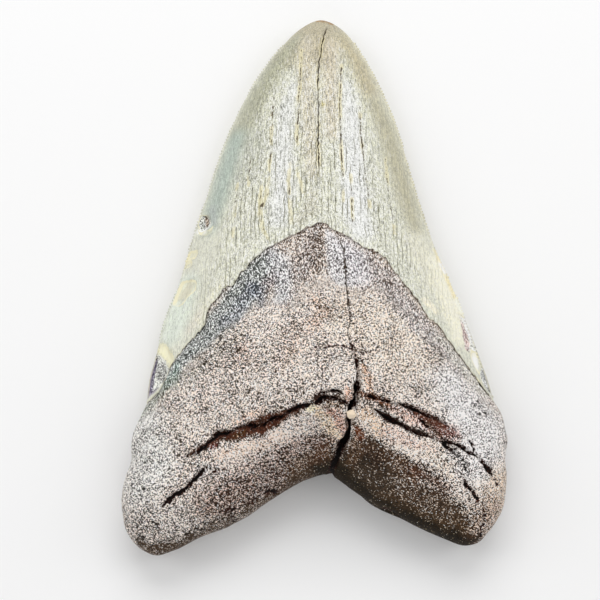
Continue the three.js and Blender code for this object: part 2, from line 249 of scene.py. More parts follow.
faces = quads(lingual_ids).tolist() + quads(labial_ids[1:-1])[:, ::-1].tolist()
for column in range(labial_ids.shape[1] - 1):
    first, second, last, before = labial_ids[0], labial_ids[1], labial_ids[-1], labial_ids[-2]
    base_middle = int(lingual_ids[0, 2 * column + 1])
    tip_middle = int(lingual_ids[-1, 2 * column + 1])
    faces += [
        [int(first[column]), int(second[column]), base_middle],
        [base_middle, int(second[column]), int(second[column + 1])],
        [base_middle, int(second[column + 1]), int(first[column + 1])],
        [int(before[column]), tip_middle, int(before[column + 1])],
        [int(before[column]), int(last[column]), tip_middle],
        [int(before[column + 1]), tip_middle, int(last[column + 1])],
    ]

tooth_mesh = bpy.data.meshes.new("tooth")
tooth_mesh.from_pydata((points * MM).tolist(), [], faces)

# Cracks of the root as (x, y, half of the width, depth) in millimetres.
ROOT_CRACKS = [
    # the hairline that runs down from the enamel into the split
    [(6.6, 2, 0, 0.1), (6.7, -0.4, 0.04, 0.2), (6.9, -2.6, 0.12, 0.3), (7.1, -5, 0.16, 0.4), (7.2, -7, 0, 0.2),
     (7.4, -9.5, 0, 0.2), (7.7, -11.2, 0.2, 0.4), (7.9, -13, 0.22, 0.4), (7.8, -14.9, 0.14, 0.3),
     (7.4, -16.9, 0.08, 0.2), (7.4, -18.5, 0, 0.2), (8.2, -21.2, 0.1, 0.4)],
    # the split
    [(8.6, -22.5, 0.1, 1), (9.2, -24.5, 0.22, 1.6), (9.4, -26.2, 0.3, 2.4), (9.5, -28, 0.25, 3), (9.6, -29.4, 0.6, 4),
     (9.3, -30.8, 0.75, 5), (9, -32, 0.3, 4), (8.9, -33.2, 0.45, 4), (8.3, -34.2, 0.75, 4.5), (7.6, -35, 0.5, 4.5),
     (7.5, -36.2, 0.5, 5), (7.3, -37.6, 0.55, 5), (7.2, -38.6, 0.35, 5), (7.2, -39.8, 0.45, 5), (6.9, -41, 0.55, 4.5),
     (6, -42, 0.85, 4), (5.3, -43, 0.8, 3.5), (4.8, -44.3, 0.6, 2.6), (4.2, -45.6, 0.6, 1.6), (3.6, -47, 0.6, 0.9),
     (3.3, -48.5, 0.6, 0.6)],
    # the left crease, which starts as two arches over a lump beside the hole
    [(6.2, -32.4, 0.1, 1), (5.4, -31.6, 0.3, 1.4), (4.1, -31.4, 0.3, 1.5), (2.6, -31.5, 0.15, 1.4),
     (1.1, -31.9, 0.25, 1.2), (-0.2, -32.7, 0.1, 0.6)],
    [(6.4, -33.8, 0.4, 1.4), (5.6, -33.6, 0.2, 1.4), (4.7, -33, 0.3, 1.6), (3, -32.7, 0.3, 2), (2, -33, 0.5, 2.2),
     (1.1, -33.6, 0.5, 2.2), (0.1, -34.1, 0.2, 1.4)],
    [(-0.6, -34.3, 0.15, 1.2), (-2, -34.4, 0.35, 1.4), (-3.6, -35, 0.5, 1.8), (-5.6, -35.7, 0.5, 2),
     (-6.6, -36.3, 0.05, 2), (-7.6, -37, 0.45, 2), (-9.2, -37, 0.55, 2), (-10.2, -37.6, 0.05, 2),
     (-11.2, -38.2, 0.5, 2), (-12.1, -38.5, 0.05, 2.2), (-13.1, -38.6, 0.5, 2.2), (-14.8, -38.1, 0.5, 2),
     (-15.8, -38.4, 0.05, 1.9), (-18.2, -39.1, 0.05, 1.8), (-19.4, -39.7, 0.5, 1.6), (-21.6, -39.8, 0.6, 1.5),
     (-22.9, -41.1, 0.4, 1), (-24.2, -42.2, 0.4, 0.9), (-26.2, -43.8, 0.35, 0.8), (-27.8, -44.5, 0.2, 0.5),
     (-29.4, -44.7, 0.05, 0.3)],
    [(-23.7, -46.7, 0.11, 0.3), (-24.7, -47.8, 0.38, 0.8), (-26.1, -49.3, 0.52, 1.2), (-27.3, -50.7, 0.3, 0.8),
     (-28.9, -52.2, 0.3, 0.8), (-30.6, -52.8, 0.49, 1.1), (-32.1, -53.7, 0.52, 1.1), (-33.4, -55.3, 0.15, 0.4)],
    [(-23.2, -47.9, 0.2, 0.3), (-21, -47.7, 0.3, 0.4), (-18.8, -47.2, 0.12, 0.2)],
    # the two creases on the right, and the jagged crack that carries on from them
    [(10.7, -32, 0.15, 1.2), (13.4, -32.6, 0.3, 1.6), (15.8, -33.1, 0.2, 1.4), (17.8, -33.3, 0.05, 1),
     (20, -33.8, 0.3, 1.5), (22.1, -34.6, 0.35, 1.6), (24.3, -35.6, 0.3, 1.5), (26.4, -36.3, 0.15, 1.3),
     (28.2, -36.9, 0.05, 1), (29.8, -37.8, 0, 0.6)],
    [(22.9, -36.6, 0.1, 0.8), (24.3, -37.6, 0.25, 1), (25.9, -38.6, 0.2, 1), (27.6, -39.6, 0.1, 0.8)],
    [(13.4, -35, 0.1, 0.8), (14.8, -35.9, 0.3, 1.4), (16.1, -36.8, 0.6, 1.7), (17.3, -37.4, 0.55, 1.6),
     (18.6, -37.9, 0.25, 1.3), (19.9, -38.5, 0.35, 1.3), (21.5, -39.4, 0.25, 1.2), (22.9, -39.9, 0.15, 1.1),
     (24.3, -40.1, 0.3, 1.1), (25.4, -40.6, 0.1, 0.8), (26.7, -40.9, 0.05, 0.8)],
    [(27.5, -41.3, 0.3, 1.2), (28.6, -41.5, 0.5, 1.4), (30.2, -41.4, 0.35, 1.3), (31.1, -41.7, 0.35, 1.3),
     (32.7, -42.5, 0.4, 1.3), (34.4, -43.5, 0.35, 1.3), (35.2, -43.8, 0.35, 1.4), (36.3, -44.3, 0.2, 1.3),
     (37.1, -45.3, 0.35, 1.3), (37.6, -46, 0.4, 1.3), (38.4, -47.2, 0.45, 1.2), (39.3, -48, 0.3, 1),
     (40.1, -49.6, 0.2, 0.8), (40.8, -50.8, 0.08, 0.4)],
    [(28.3, -41.7, 0.5, 1.2), (29.1, -42.4, 0.5, 1.2), (30.2, -43.1, 0.4, 1), (31.3, -42.9, 0.2, 0.8)],
    [(34.6, -41, 0.2, 0.5), (34.9, -41.6, 0.2, 0.8), (35.5, -42.6, 0.2, 1), (34.9, -43.6, 0.3, 1)],
    [(32.3, -48.6, 0.15, 0.5), (32.8, -49.6, 0.3, 0.8), (33.1, -50.7, 0.35, 1), (34.2, -51.7, 0.4, 1),
     (35, -52.7, 0.4, 0.9), (35.8, -53.6, 0.35, 0.7), (36, -54.4, 0.15, 0.5)],
    [(37.1, -54.7, 0.1, 0.4), (37.6, -56.7, 0.2, 0.5), (37.4, -58.2, 0.15, 0.4), (36.9, -59.8, 0.1, 0.3),
     (36.9, -61.5, 0.1, 0.3)],
    # where the enamel's right end has lifted
    [(36.9, -25.8, 0.05, 0.2), (38.2, -27.3, 0.15, 0.4), (39.6, -28.8, 0.18, 0.4), (41, -30.4, 0.05, 0.2)],
    # short cracks that star out where the split starts
    [(8, -21.5, 0.12, 0.4), (5, -20.4, 0.08, 0.3), (2.2, -21.3, 0.04, 0.2), (-0.8, -21, 0, 0.1)],
    [(8.4, -21.8, 0.12, 0.4), (10.6, -22.6, 0.1, 0.4), (13.4, -21.4, 0, 0.2)],
    # the small holes along the base
    [(-8.4, -51.6, 0.35, 0.8), (-10, -51.5, 0.45, 1), (-12, -52.6, 0, 0.4), (-13.6, -53.7, 0.2, 0.4), (-14.6, -54.1, 0.1, 0.2)],
    [(-18, -57, 0.35, 0.8), (-18.4, -58.6, 0.25, 0.6)],
    [(14.8, -55, 0.2, 0.3), (16.4, -56.1, 0.6, 0.9), (18.4, -56.6, 0.3, 0.5)],
    [(-17.5, -55.6, 0.1, 0.2), (-21.5, -56.1, 0.2, 0.3), (-24, -56.4, 0.1, 0.2)],
]

# Cracks along the enamel, the same way.
ENAMEL_CRACKS = [
    [(2.9, 62.2, 0.2, 0.3), (2.2, 60, 0.16, 0.4), (1.6, 57, 0.06, 0.4), (1.3, 54.3, 0.1, 0.5), (0.9, 51, 0.04, 0.4),
     (0.7, 47, 0.1, 0.5), (0.8, 42.5, 0.12, 0.5), (0.8, 38, 0.08, 0.5), (0.8, 30, 0.12, 0.5), (0.9, 25, 0.04, 0.4),
     (1.1, 19, 0, 0.2)],
    [(-3.3, 56, 0, 0.1), (-3.5, 51, 0.06, 0.3), (-3.6, 46, 0.1, 0.4), (-4.1, 42.5, 0.06, 0.4), (-4, 38, 0.1, 0.4),
     (-4.4, 33, 0.04, 0.3), (-4, 28, 0.08, 0.3), (-4.3, 23, 0.02, 0.2), (-2.6, 17, 0.02, 0.1)],
    [(6.4, 52, 0, 0.1), (6.2, 47, 0.06, 0.3), (5.9, 41, 0.08, 0.3), (6.1, 34, 0.04, 0.3), (6.2, 28, 0.08, 0.3),
     (6.6, 22, 0.06, 0.2), (6.6, 15, 0, 0.1)],
    [(-9.8, 44, 0, 0.1), (-10.3, 38, 0.06, 0.3), (-10.4, 31, 0.05, 0.3), (-10.8, 24, 0.06, 0.3), (-11.2, 17, 0.04, 0.1),
     (-13, 12, 0.04, 0.2)],
    [(10.8, 41, 0, 0.1), (11, 34, 0.1, 0.3), (11.5, 28, 0.06, 0.3), (12, 22, 0.06, 0.3), (12.8, 14, 0.02, 0.1)],
    [(-15.3, 29.5, 0.02, 0.1), (-15.5, 25, 0.12, 0.3), (-15.6, 20, 0.02, 0.1)],
    [(-6.1, 30, 0, 0.1), (-5.9, 25, 0.06, 0.3), (-6.2, 20, 0.08, 0.3), (-5.8, 14, 0.06, 0.3), (-5.4, 9, 0.02, 0.1)],
    [(-12.4, 22, 0.02, 0.1), (-12.9, 15, 0.08, 0.3), (-12.3, 9, 0.08, 0.2), (-10.7, 5, 0.04, 0.1)],
    [(-18.3, 21, 0.02, 0.1), (-18.7, 16, 0.06, 0.3), (-19, 7, 0.02, 0.1)],
    [(8.4, 22, 0, 0.1), (8.6, 14, 0.06, 0.3), (8.8, 9, 0.03, 0.1)],
    [(16.8, 28, 0.02, 0.1), (17.2, 21, 0.06, 0.3), (18.6, 8, 0.02, 0.1)],
]

# Outlines of the flakes off the enamel: shallow ones with a cream rim, and deeper ones down to the dentine.
CREAM_FLAKES = [
    [(-31.9, -2.4), (-31.3, -1.6), (-29.5, -1.7), (-28, -2.3), (-27.5, -3.2), (-27.6, -4.6), (-28.7, -5.4),
     (-30.1, -6.9), (-31.1, -7.9), (-32.3, -8), (-33.4, -7.2), (-33, -5.2)],
    [(-30.4, 6), (-27.8, 5.8), (-27.7, 4.6), (-28.2, 3.6), (-29.2, 3.8), (-30.8, 3.4)],
    [(-31, 3.2), (-29.6, 3.4), (-29, 3), (-29, 1.7), (-31.4, 1.6)],
    [(-37.4, -16.6), (-34.8, -16.8), (-34.2, -18), (-32.9, -20.3), (-32.2, -21.2), (-32.7, -22.7), (-33.5, -23.3),
     (-35, -20.9), (-36.3, -19.3), (-37.6, -18.8)],
    [(-27.4, 11.2), (-26.7, 11), (-25.7, 10.1), (-24.6, 10.3), (-24.1, 11.2), (-24.4, 9.4), (-25.8, 9), (-27.6, 9.8)],
    [(36.4, -18.2), (38.2, -18), (39.6, -21.9), (37.9, -24.2), (36.7, -22.3), (35.9, -20)],
]
DARK_FLAKES = [
    [(-37.8, -19), (-36.3, -19.2), (-34.9, -21), (-33.7, -23.4), (-33.9, -25.2), (-35.5, -27.2), (-37.7, -28.4),
     (-39.6, -29.8), (-39.8, -24)],
    [(-27.6, 14.8), (-25.9, 14.3), (-25, 13), (-24.8, 11.9), (-25.3, 10.7), (-27.6, 10.6)],
    [(33.8, -9.6), (35.4, -10.4), (37.4, -15.2), (38, -18), (36.3, -18), (35.5, -19.4), (34.6, -18.4), (34.3, -13.3)],
    [(39.4, -21.8), (38, -24.2), (38.6, -25.8), (40.4, -28.4), (42, -29.6), (41.6, -25)],
]


def trace(lines, x, y):
    """The distance to the nearest crack's side, less than 0 inside it, and how deep it is there."""
    nearest = np.full(x.shape, 99.0)
    sink = np.zeros(x.shape)
    for line in lines:
        for (x0, y0, w0, d0), (x1, y1, w1, d1) in zip(line, line[1:]):
            share = np.clip(((x - x0) * (x1 - x0) + (y - y0) * (y1 - y0)) / ((x1 - x0) ** 2 + (y1 - y0) ** 2), 0, 1)
            away = np.hypot(x - x0 - share * (x1 - x0), y - y0 - share * (y1 - y0))
            half = w0 + share * (w1 - w0)
            nearest = np.minimum(nearest, away - half)
            inside = np.clip(1.1 - away / (half + 0.1), 0, 1) ** 0.7
            sink = np.maximum(sink, (d0 + share * (d1 - d0)) * inside)
    return nearest, sink


def flaked(outlines, x, y):
    """The distance to the nearest flake's edge, less than 0 inside it."""
    nearest = np.full(x.shape, 99.0)
    for outline in outlines:
        closed = outline + outline[:1]
        away = trace([[(px, py, 0, 0) for px, py in closed]], x, y)[0]
        inside = np.zeros(x.shape, bool)
        for (x0, y0), (x1, y1) in zip(closed, closed[1:]):
            if y0 != y1:
                inside ^= ((y0 > y) != (y1 > y)) & (x < x0 + (y - y0) * (x1 - x0) / (y1 - y0))
        nearest = np.minimum(nearest, np.where(inside, -away, away))
    return nearest


x, y, z = points.T
on_lingual = sheet[:, 2] == 0
wobble = np.array([noise.noise_vector(Vector((px, py, pz)) * 0.9) for px, py, pz in points])
jagged_x = x + 0.35 * wobble[:, 0]
jagged_y = y + 0.35 * wobble[:, 1]
root_crack, root_sink = trace(ROOT_CRACKS, jagged_x, jagged_y)
drift = np.array([noise.noise_vector(Vector((px, py, pz)) * 0.33) for px, py, pz in points])
cloud_x = jagged_x + 0.9 * drift[:, 0]
cloud_y = jagged_y + 0.9 * drift[:, 1]
enamel_sink = trace(ENAMEL_CRACKS, x + 0.12 * wobble[:, 0], y)[1]
enamel_crack = trace(ENAMEL_CRACKS[1:], x + 0.12 * wobble[:, 0], y)[0]
# How far each point lies to the side of the crown's longest crack, and of the root's hairline below it.
main_path = np.array(ROOT_CRACKS[0][::-1] + ENAMEL_CRACKS[0][::-1])
beside_main = x + 0.3 * wobble[:, 0] - np.interp(y, main_path[:, 1], main_path[:, 0])
cream = flaked(CREAM_FLAKES, x + 0.25 * wobble[:, 1], y + 0.25 * wobble[:, 2])
dark = flaked(DARK_FLAKES, x + 0.25 * wobble[:, 1], y + 0.25 * wobble[:, 2])
flake_sink = 0.45 * smooth(0.3, -0.5, cream) + 0.55 * smooth(0.3, -0.6, dark)
enamel_y = np.interp(x, *np.array(TORN_ENAMEL).T)

# How far below the enamel each point of the lingual root lies, as a share of the bourlette's width there.
BOURLETTE_WIDTH = [(-40, 5), (-30, 8), (-22, 10), (-14, 13), (-5, 17), (3, 17), (9, 14), (15, 9.5), (25, 6.5), (42, 4)]
band = (enamel_y - y) / profile(BOURLETTE_WIDTH, x)
below_enamel = trace([[(px, py, 0, 0) for px, py in TORN_ENAMEL]], x, y)[0]

# Stains, painted shade and painted sheen on the root as (colour, soft edge, strength, [(x, y, half width), ...]), in
# millimetres, laid one on another.
ROOT_BONE = (199, 183, 169)
ROOT_STAINS_AND_SHADING = [
    # paler shoulders, and a brown base under both lobes: its own brown, deepened with painted shade, darkest in the
    # notch between the lobes
    ((201, 198, 192), 5, 0.9, [(-39, -37, 4), (-37, -46, 5), (-39, -52, 3)]),
    ((181, 170, 160), 4, 0.85, [(-40, -58, 2), (-36, -60, 3), (-30, -59, 3)]),
    ((211, 206, 205), 5, 0.9, [(30, -28, 3), (37, -38, 5), (38, -46, 3)]),
    ((212, 193, 171), 6, 0.8, [(18, -18, 8), (8, -14, 4)]),
    ((207, 177, 145), 4, 0.85, [(42, -49, 2), (40, -53, 2)]),
    ((180, 150, 125), 4, 0.85, [(39, -57, 2.4), (35, -60, 2)]),
    ((159, 134, 120), 3.6, 0.9, [(-22, -53.4, 2.6), (-12, -50, 3.6), (-5, -47, 3)]),
    ((124, 105, 86), 3, 0.9, [(-5, -47.2, 1.4), (-1, -45.8, 2.2), (2.4, -44.4, 1.6)]),
    ((142, 118, 102), 2, 0.7, [(-24.3, -55.9, 1.5), (-16, -53.2, 1.5)]),
    ((113, 97, 78), 3, 0.9, [(6.7, -48.4, 1), (15.5, -51.9, 2), (24.4, -56.6, 3), (31, -59, 3)]),
    ((127, 108, 91), 2.2, 0.95, [(9, -43.6, 0.9), (12, -43, 1.2), (14.6, -44.2, 1.8), (17.5, -46, 2.2), (21, -48.4, 2.4)]),
    ((27, 21, 12), 1.6, 0.95, [(6.6, -43.4, 0.6), (7.2, -45.8, 1.6), (10.6, -46, 2), (13.4, -47.4, 2)]),
    ((150, 127, 112), 2.4, 0.8, [(-19.6, -51.6, 0.8), (-15, -50.6, 1)]),
    ((101, 91, 80), 2.4, 0.9, [(8, -47, 1.5), (15, -49.4, 2.4)]),
    ((123, 108, 94), 2.4, 0.9, [(20, -51.6, 1.6), (25, -54, 2), (29.4, -55.4, 1.4)]),
    ((97, 71, 57), 2.4, 0.8, [(22, -47.6, 0.6), (26, -50, 0.8), (29, -51.6, 0.6)]),
    ((117, 99, 81), 1.4, 0.92, [(8.8, -38.6, 0.3), (9.2, -40.6, 1), (9.2, -42.8, 1.2), (8, -45.4, 1)]),
    ((130, 106, 86), 1.6, 0.92, [(5.2, -40.6, 0.4), (3.4, -41.8, 1.1), (1.6, -43.4, 1.4), (0.4, -45.2, 1.2)]),
    ((150, 122, 108), 1.8, 0.8, [(-16, -46.2, 0.8), (-10.6, -44.4, 0.8), (-3.6, -42, 1), (1.2, -41, 0.8)]),
    ((193, 184, 179), 1.8, 0.8, [(-25.6, -47.9, 0.9), (-22.8, -47.2, 0.6)]),
    ((84, 72, 61), 1.5, 0.9, [(12.2, -41, 0.4), (13.4, -43.2, 1.1), (13.8, -45.6, 1.2)]),
    # the bourlette: slate on the left, brown up its middle, pale and then lilac on the right
    ((161, 165, 162), 2, 0.95, [(-36, -28.5, 0.8), (-32.2, -24, 1.6), (-28, -19.5, 2.2), (-24.9, -16.8, 2.6),
                                (-21, -12.4, 3), (-17, -8.3, 3.4), (-13.8, -3.4, 3), (-11.4, 0, 2.4)]),
    ((155, 158, 163), 1.6, 0.8, [(-20.3, -14.2, 0.8), (-17.8, -12.2, 1.4), (-16.2, -9.6, 1.6), (-14.7, -6.6, 1.2)]),
    ((190, 188, 189), 2, 0.9, [(-9.6, 2.2, 1), (-8, -0.6, 2), (-7, -4.2, 2.2), (-7.4, -8, 1.8)]),
    ((181, 170, 164), 2, 0.95, [(11, 0.6, 1.6), (15.9, -4.5, 2), (19.7, -9.3, 2.2), (23.5, -14, 2), (28, -19, 1.6),
                                (33.5, -23.5, 1.2)]),
    ((171, 159, 152), 1.8, 0.92, [(0.4, 7.5, 0.6), (-0.6, 4.5, 1.3), (-1.6, 1.5, 1.9), (-2.6, -1, 2.1), (-3.2, -3, 1.7)]),
    ((139, 130, 132), 1.2, 0.7, [(-11.4, -5.4, 1), (-9.6, -4.6, 0.8)]),
    ((202, 197, 197), 0.6, 0.95, [(2.6, 6.8, 0.4), (4, 4, 1.6), (5.4, 0.6, 2.8), (6.6, -3, 3.2)]),
    ((205, 199, 202), 2.4, 0.9, [(7, 3.4, 1.4), (9.4, 0.4, 1.8), (10.4, -4, 1.6)]),
    ((190, 157, 128), 1.6, 0.7, [(0, -9.6, 1), (2.2, -12.5, 1.4), (-1.1, -15.7, 1.2)]),
    ((153, 169, 161), 0.8, 0.92, [(-31.2, -22.6, 0.5), (-31.5, -24.3, 0.9), (-32.4, -26, 1.1), (-33.6, -27.6, 0.8)]),
    ((200, 195, 183), 1.4, 0.8, [(28, -17.4, 0.6), (31, -20.6, 1), (35, -25.2, 1), (38.4, -29.2, 0.6)]),
    ((117, 122, 132), 1.4, 0.8, [(-14.4, -6, 0.8), (-12.6, -7.6, 1), (-12, -10, 0.6)]),
    ((172, 163, 150), 2.4, 0.8, [(-29, -27, 1), (-22, -21.4, 1.4), (-17, -17.4, 1.4)]),
    ((152, 138, 127), 1.2, 0.9, [(0.8, 7.6, 0.2), (0.4, 4.6, 0.7), (0.3, 1.6, 1.1), (0.8, -0.6, 1), (0.2, -2.4, 0.6)]),
    ((189, 163, 141), 3, 0.7, [(-4.6, -17.6, 0.6), (-4.4, -21, 1), (-6.8, -24.4, 0.8)]),
    ((168, 143, 125), 3, 0.7, [(-16.4, -18.6, 0.6), (-16, -22.6, 1)]),
    ((153, 160, 147), 2.4, 0.8, [(-39.6, -33.4, 0.5), (-36.6, -30.8, 0.6), (-32, -27, 0.8)]),
    ((99, 76, 52), 1, 0.7, [(9.8, -23.4, 0.2), (10.6, -25.4, 0.3)]),
    # a painted sheen on the ridge under the left crease, then raw bone and rust round the hole and the split
    ((203, 184, 170), 2.2, 0.85, [(-20, -46, 1.5), (-12, -43.5, 1.5), (-7.2, -40, 1.4), (-4, -38.2, 1.6), (-1, -36.8, 1)]),
    ((246, 209, 179), 1.4, 0.65, [(-20.4, -44.4, 0.5), (-16.5, -43.3, 0.6), (-10.3, -41.7, 0.6), (-7.2, -40.6, 0.4)]),
    ((224, 190, 154), 1.1, 0.95, [(10.7, -35.7, 0.9), (11.8, -37.1, 1.3), (14.2, -39.1, 1.4), (16, -40.1, 1)]),
    ((214, 178, 156), 1.3, 0.9, [(16, -39.7, 1), (21.5, -42.2, 1.3), (24.8, -43.8, 1.3)]),
    ((220, 202, 184), 1.4, 0.9, [(18.6, -42.8, 0.6), (24.8, -44.8, 1.2), (27.5, -46.1, 1.4), (30.1, -48.4, 1)]),
    ((202, 194, 190), 1.2, 0.9, [(29.6, -44.6, 0.6), (33.4, -44, 0.5), (35.1, -45.3, 0.9), (36.3, -46.8, 0.9), (35.4, -48.5, 0.9),
                                 (33.6, -49, 0.8), (31.4, -47.6, 0.9)]),
    ((138, 133, 130), 0.7, 0.88, [(30.5, -44.2, 0.4), (31.8, -45.4, 0.8), (33, -46.4, 0.8), (33.4, -47.5, 0.4)]),
    ((185, 142, 100), 0.7, 0.88, [(10.2, -25.6, 0.4), (10.7, -27, 0.7), (11.3, -28.4, 0.8), (11.8, -29.8, 0.8), (12.4, -30.9, 0.5)]),
    ((122, 86, 62), 0.6, 0.88, [(8.9, -39.1, 0.6), (9.7, -40.3, 0.9), (10.4, -41, 0.6)]),
    ((250, 185, 138), 0.5, 0.8, [(7.4, -31, 0.4), (7.3, -33, 0.6)]),
    ((212, 184, 144), 0.8, 0.95, [(0.9, -35.4, 0.6), (2.4, -37.2, 1), (3.7, -38.9, 1), (5.3, -40.2, 0.5)]),
    ((204, 146, 112), 0.8, 0.88, [(3, -35.4, 0.5), (4.4, -36.5, 0.9), (5.7, -38.1, 0.9), (6.3, -39.5, 0.5)]),
    ((151, 126, 97), 0.5, 0.88, [(3, -33.6, 0.4), (5.2, -34.7, 0.6)]),
    ((236, 219, 157), 0.4, 0.85, [(-1.6, -34.9, 0.3), (0.2, -35, 0.4)]),
    ((180, 163, 147), 0.4, 0.85, [(9.8, -32.8, 0.4), (11.1, -33.8, 0.4)]),
    # iron stain in the creases, deepened with painted shade under their overhanging upper lips
    ((60, 42, 34), 0.6, 0.9, [(0.2, -33.8, 0.3), (1.6, -32.9, 0.5), (4.1, -32.3, 0.5), (5.8, -33.2, 0.5), (6.4, -34, 0.3)]),
    ((72, 51, 36), 0.7, 0.85, [(10.2, -31.9, 0.5), (12.4, -32.5, 0.8), (15, -33.3, 0.8), (17.4, -34.3, 0.5)]),
    ((157, 113, 101), 1.4, 0.9, [(22, -36, 0.8), (24.3, -37.6, 1.3), (26.5, -38.2, 1.6), (28.5, -38.8, 1.6), (31, -39.6, 1)]),
    ((189, 152, 132), 0.8, 0.88, [(16.4, -34.6, 0.4), (18.3, -35, 0.8), (20.5, -36.4, 0.9), (22.1, -37.6, 0.7)]),
    ((187, 135, 95), 0.5, 0.92, [(10.7, -32.1, 0.3), (13.4, -32.5, 0.6), (16.1, -33.1, 0.5)]),
    ((119, 92, 79), 0.8, 0.95, [(19.4, -33.7, 0.5), (22.1, -34.7, 1), (24.3, -35.7, 1.1), (26.5, -36.7, 1), (28.2, -37.4, 0.7)]),
    ((135, 114, 96), 0.6, 0.9, [(24.3, -37.6, 0.4), (25.9, -38.6, 0.6), (27.6, -39.6, 0.4)]),
    ((21, 7, 7), 0.5, 0.92, [(13.4, -35, 0.2), (14.8, -35.8, 0.4), (16.4, -36.9, 0.7), (18, -37.6, 0.5), (19.9, -38.4, 0.45),
                               (22.9, -39.8, 0.3), (25.4, -40.5, 0.2)]),
    ((88, 61, 46), 0.7, 0.96, [(-27.4, -44.3, 0.1), (-25.4, -43.2, 0.4), (-23, -41.5, 0.5), (-21.3, -40.5, 1), (-18.5, -40.2, 1.1),
                               (-15.3, -39.2, 1.3), (-12, -38.5, 1.5), (-10, -37.4, 1.5), (-7.2, -36.5, 1.1), (-4.6, -35.4, 0.8),
                               (-2.6, -34.6, 0.3)]),
    ((117, 97, 66), 0.4, 0.7, [(-17.6, -40, 0.25), (-15.6, -39.4, 0.3)]),
    ((74, 64, 56), 0.4, 0.7, [(-12.4, -38, 0.3), (-11.4, -37, 0.25)]),
    ((103, 39, 39), 0.5, 0.8, [(-23.2, -42.7, 0.4), (-22, -42.4, 0.5)]),
    ((212, 159, 112), 0.9, 0.5, [(-17.6, -37.2, 0.4), (-13.9, -36.2, 0.4), (-11.6, -35.4, 0.3)]),
]
# Painted shade along the base, which both faces share.
BASE_SHADE = [
    ((96, 83, 69), 2, 0.95, [(-39, -63, 0.6), (-35.7, -64.8, 1), (-31.4, -63.7, 1), (-26, -61, 0.8), (-20.6, -58.8, 0.5),
                             (-17, -57, 0.3), (-13.6, -55, 0.3), (-10.2, -52.6, 0.5), (-5.7, -49.8, 0.6), (-1.6, -47.8, 0.9)]),
    ((43, 36, 20), 2, 0.98, [(0.6, -46.6, 1), (3.9, -46.6, 1.8), (6.6, -48.4, 1.5), (10.3, -51.3, 1.1), (13.9, -54, 1.2),
                             (19.3, -56.6, 1.3), (24.7, -59.4, 1.5), (30.1, -61.8, 1.5), (33.7, -62.6, 1.2), (36.5, -62, 0.5)]),
]
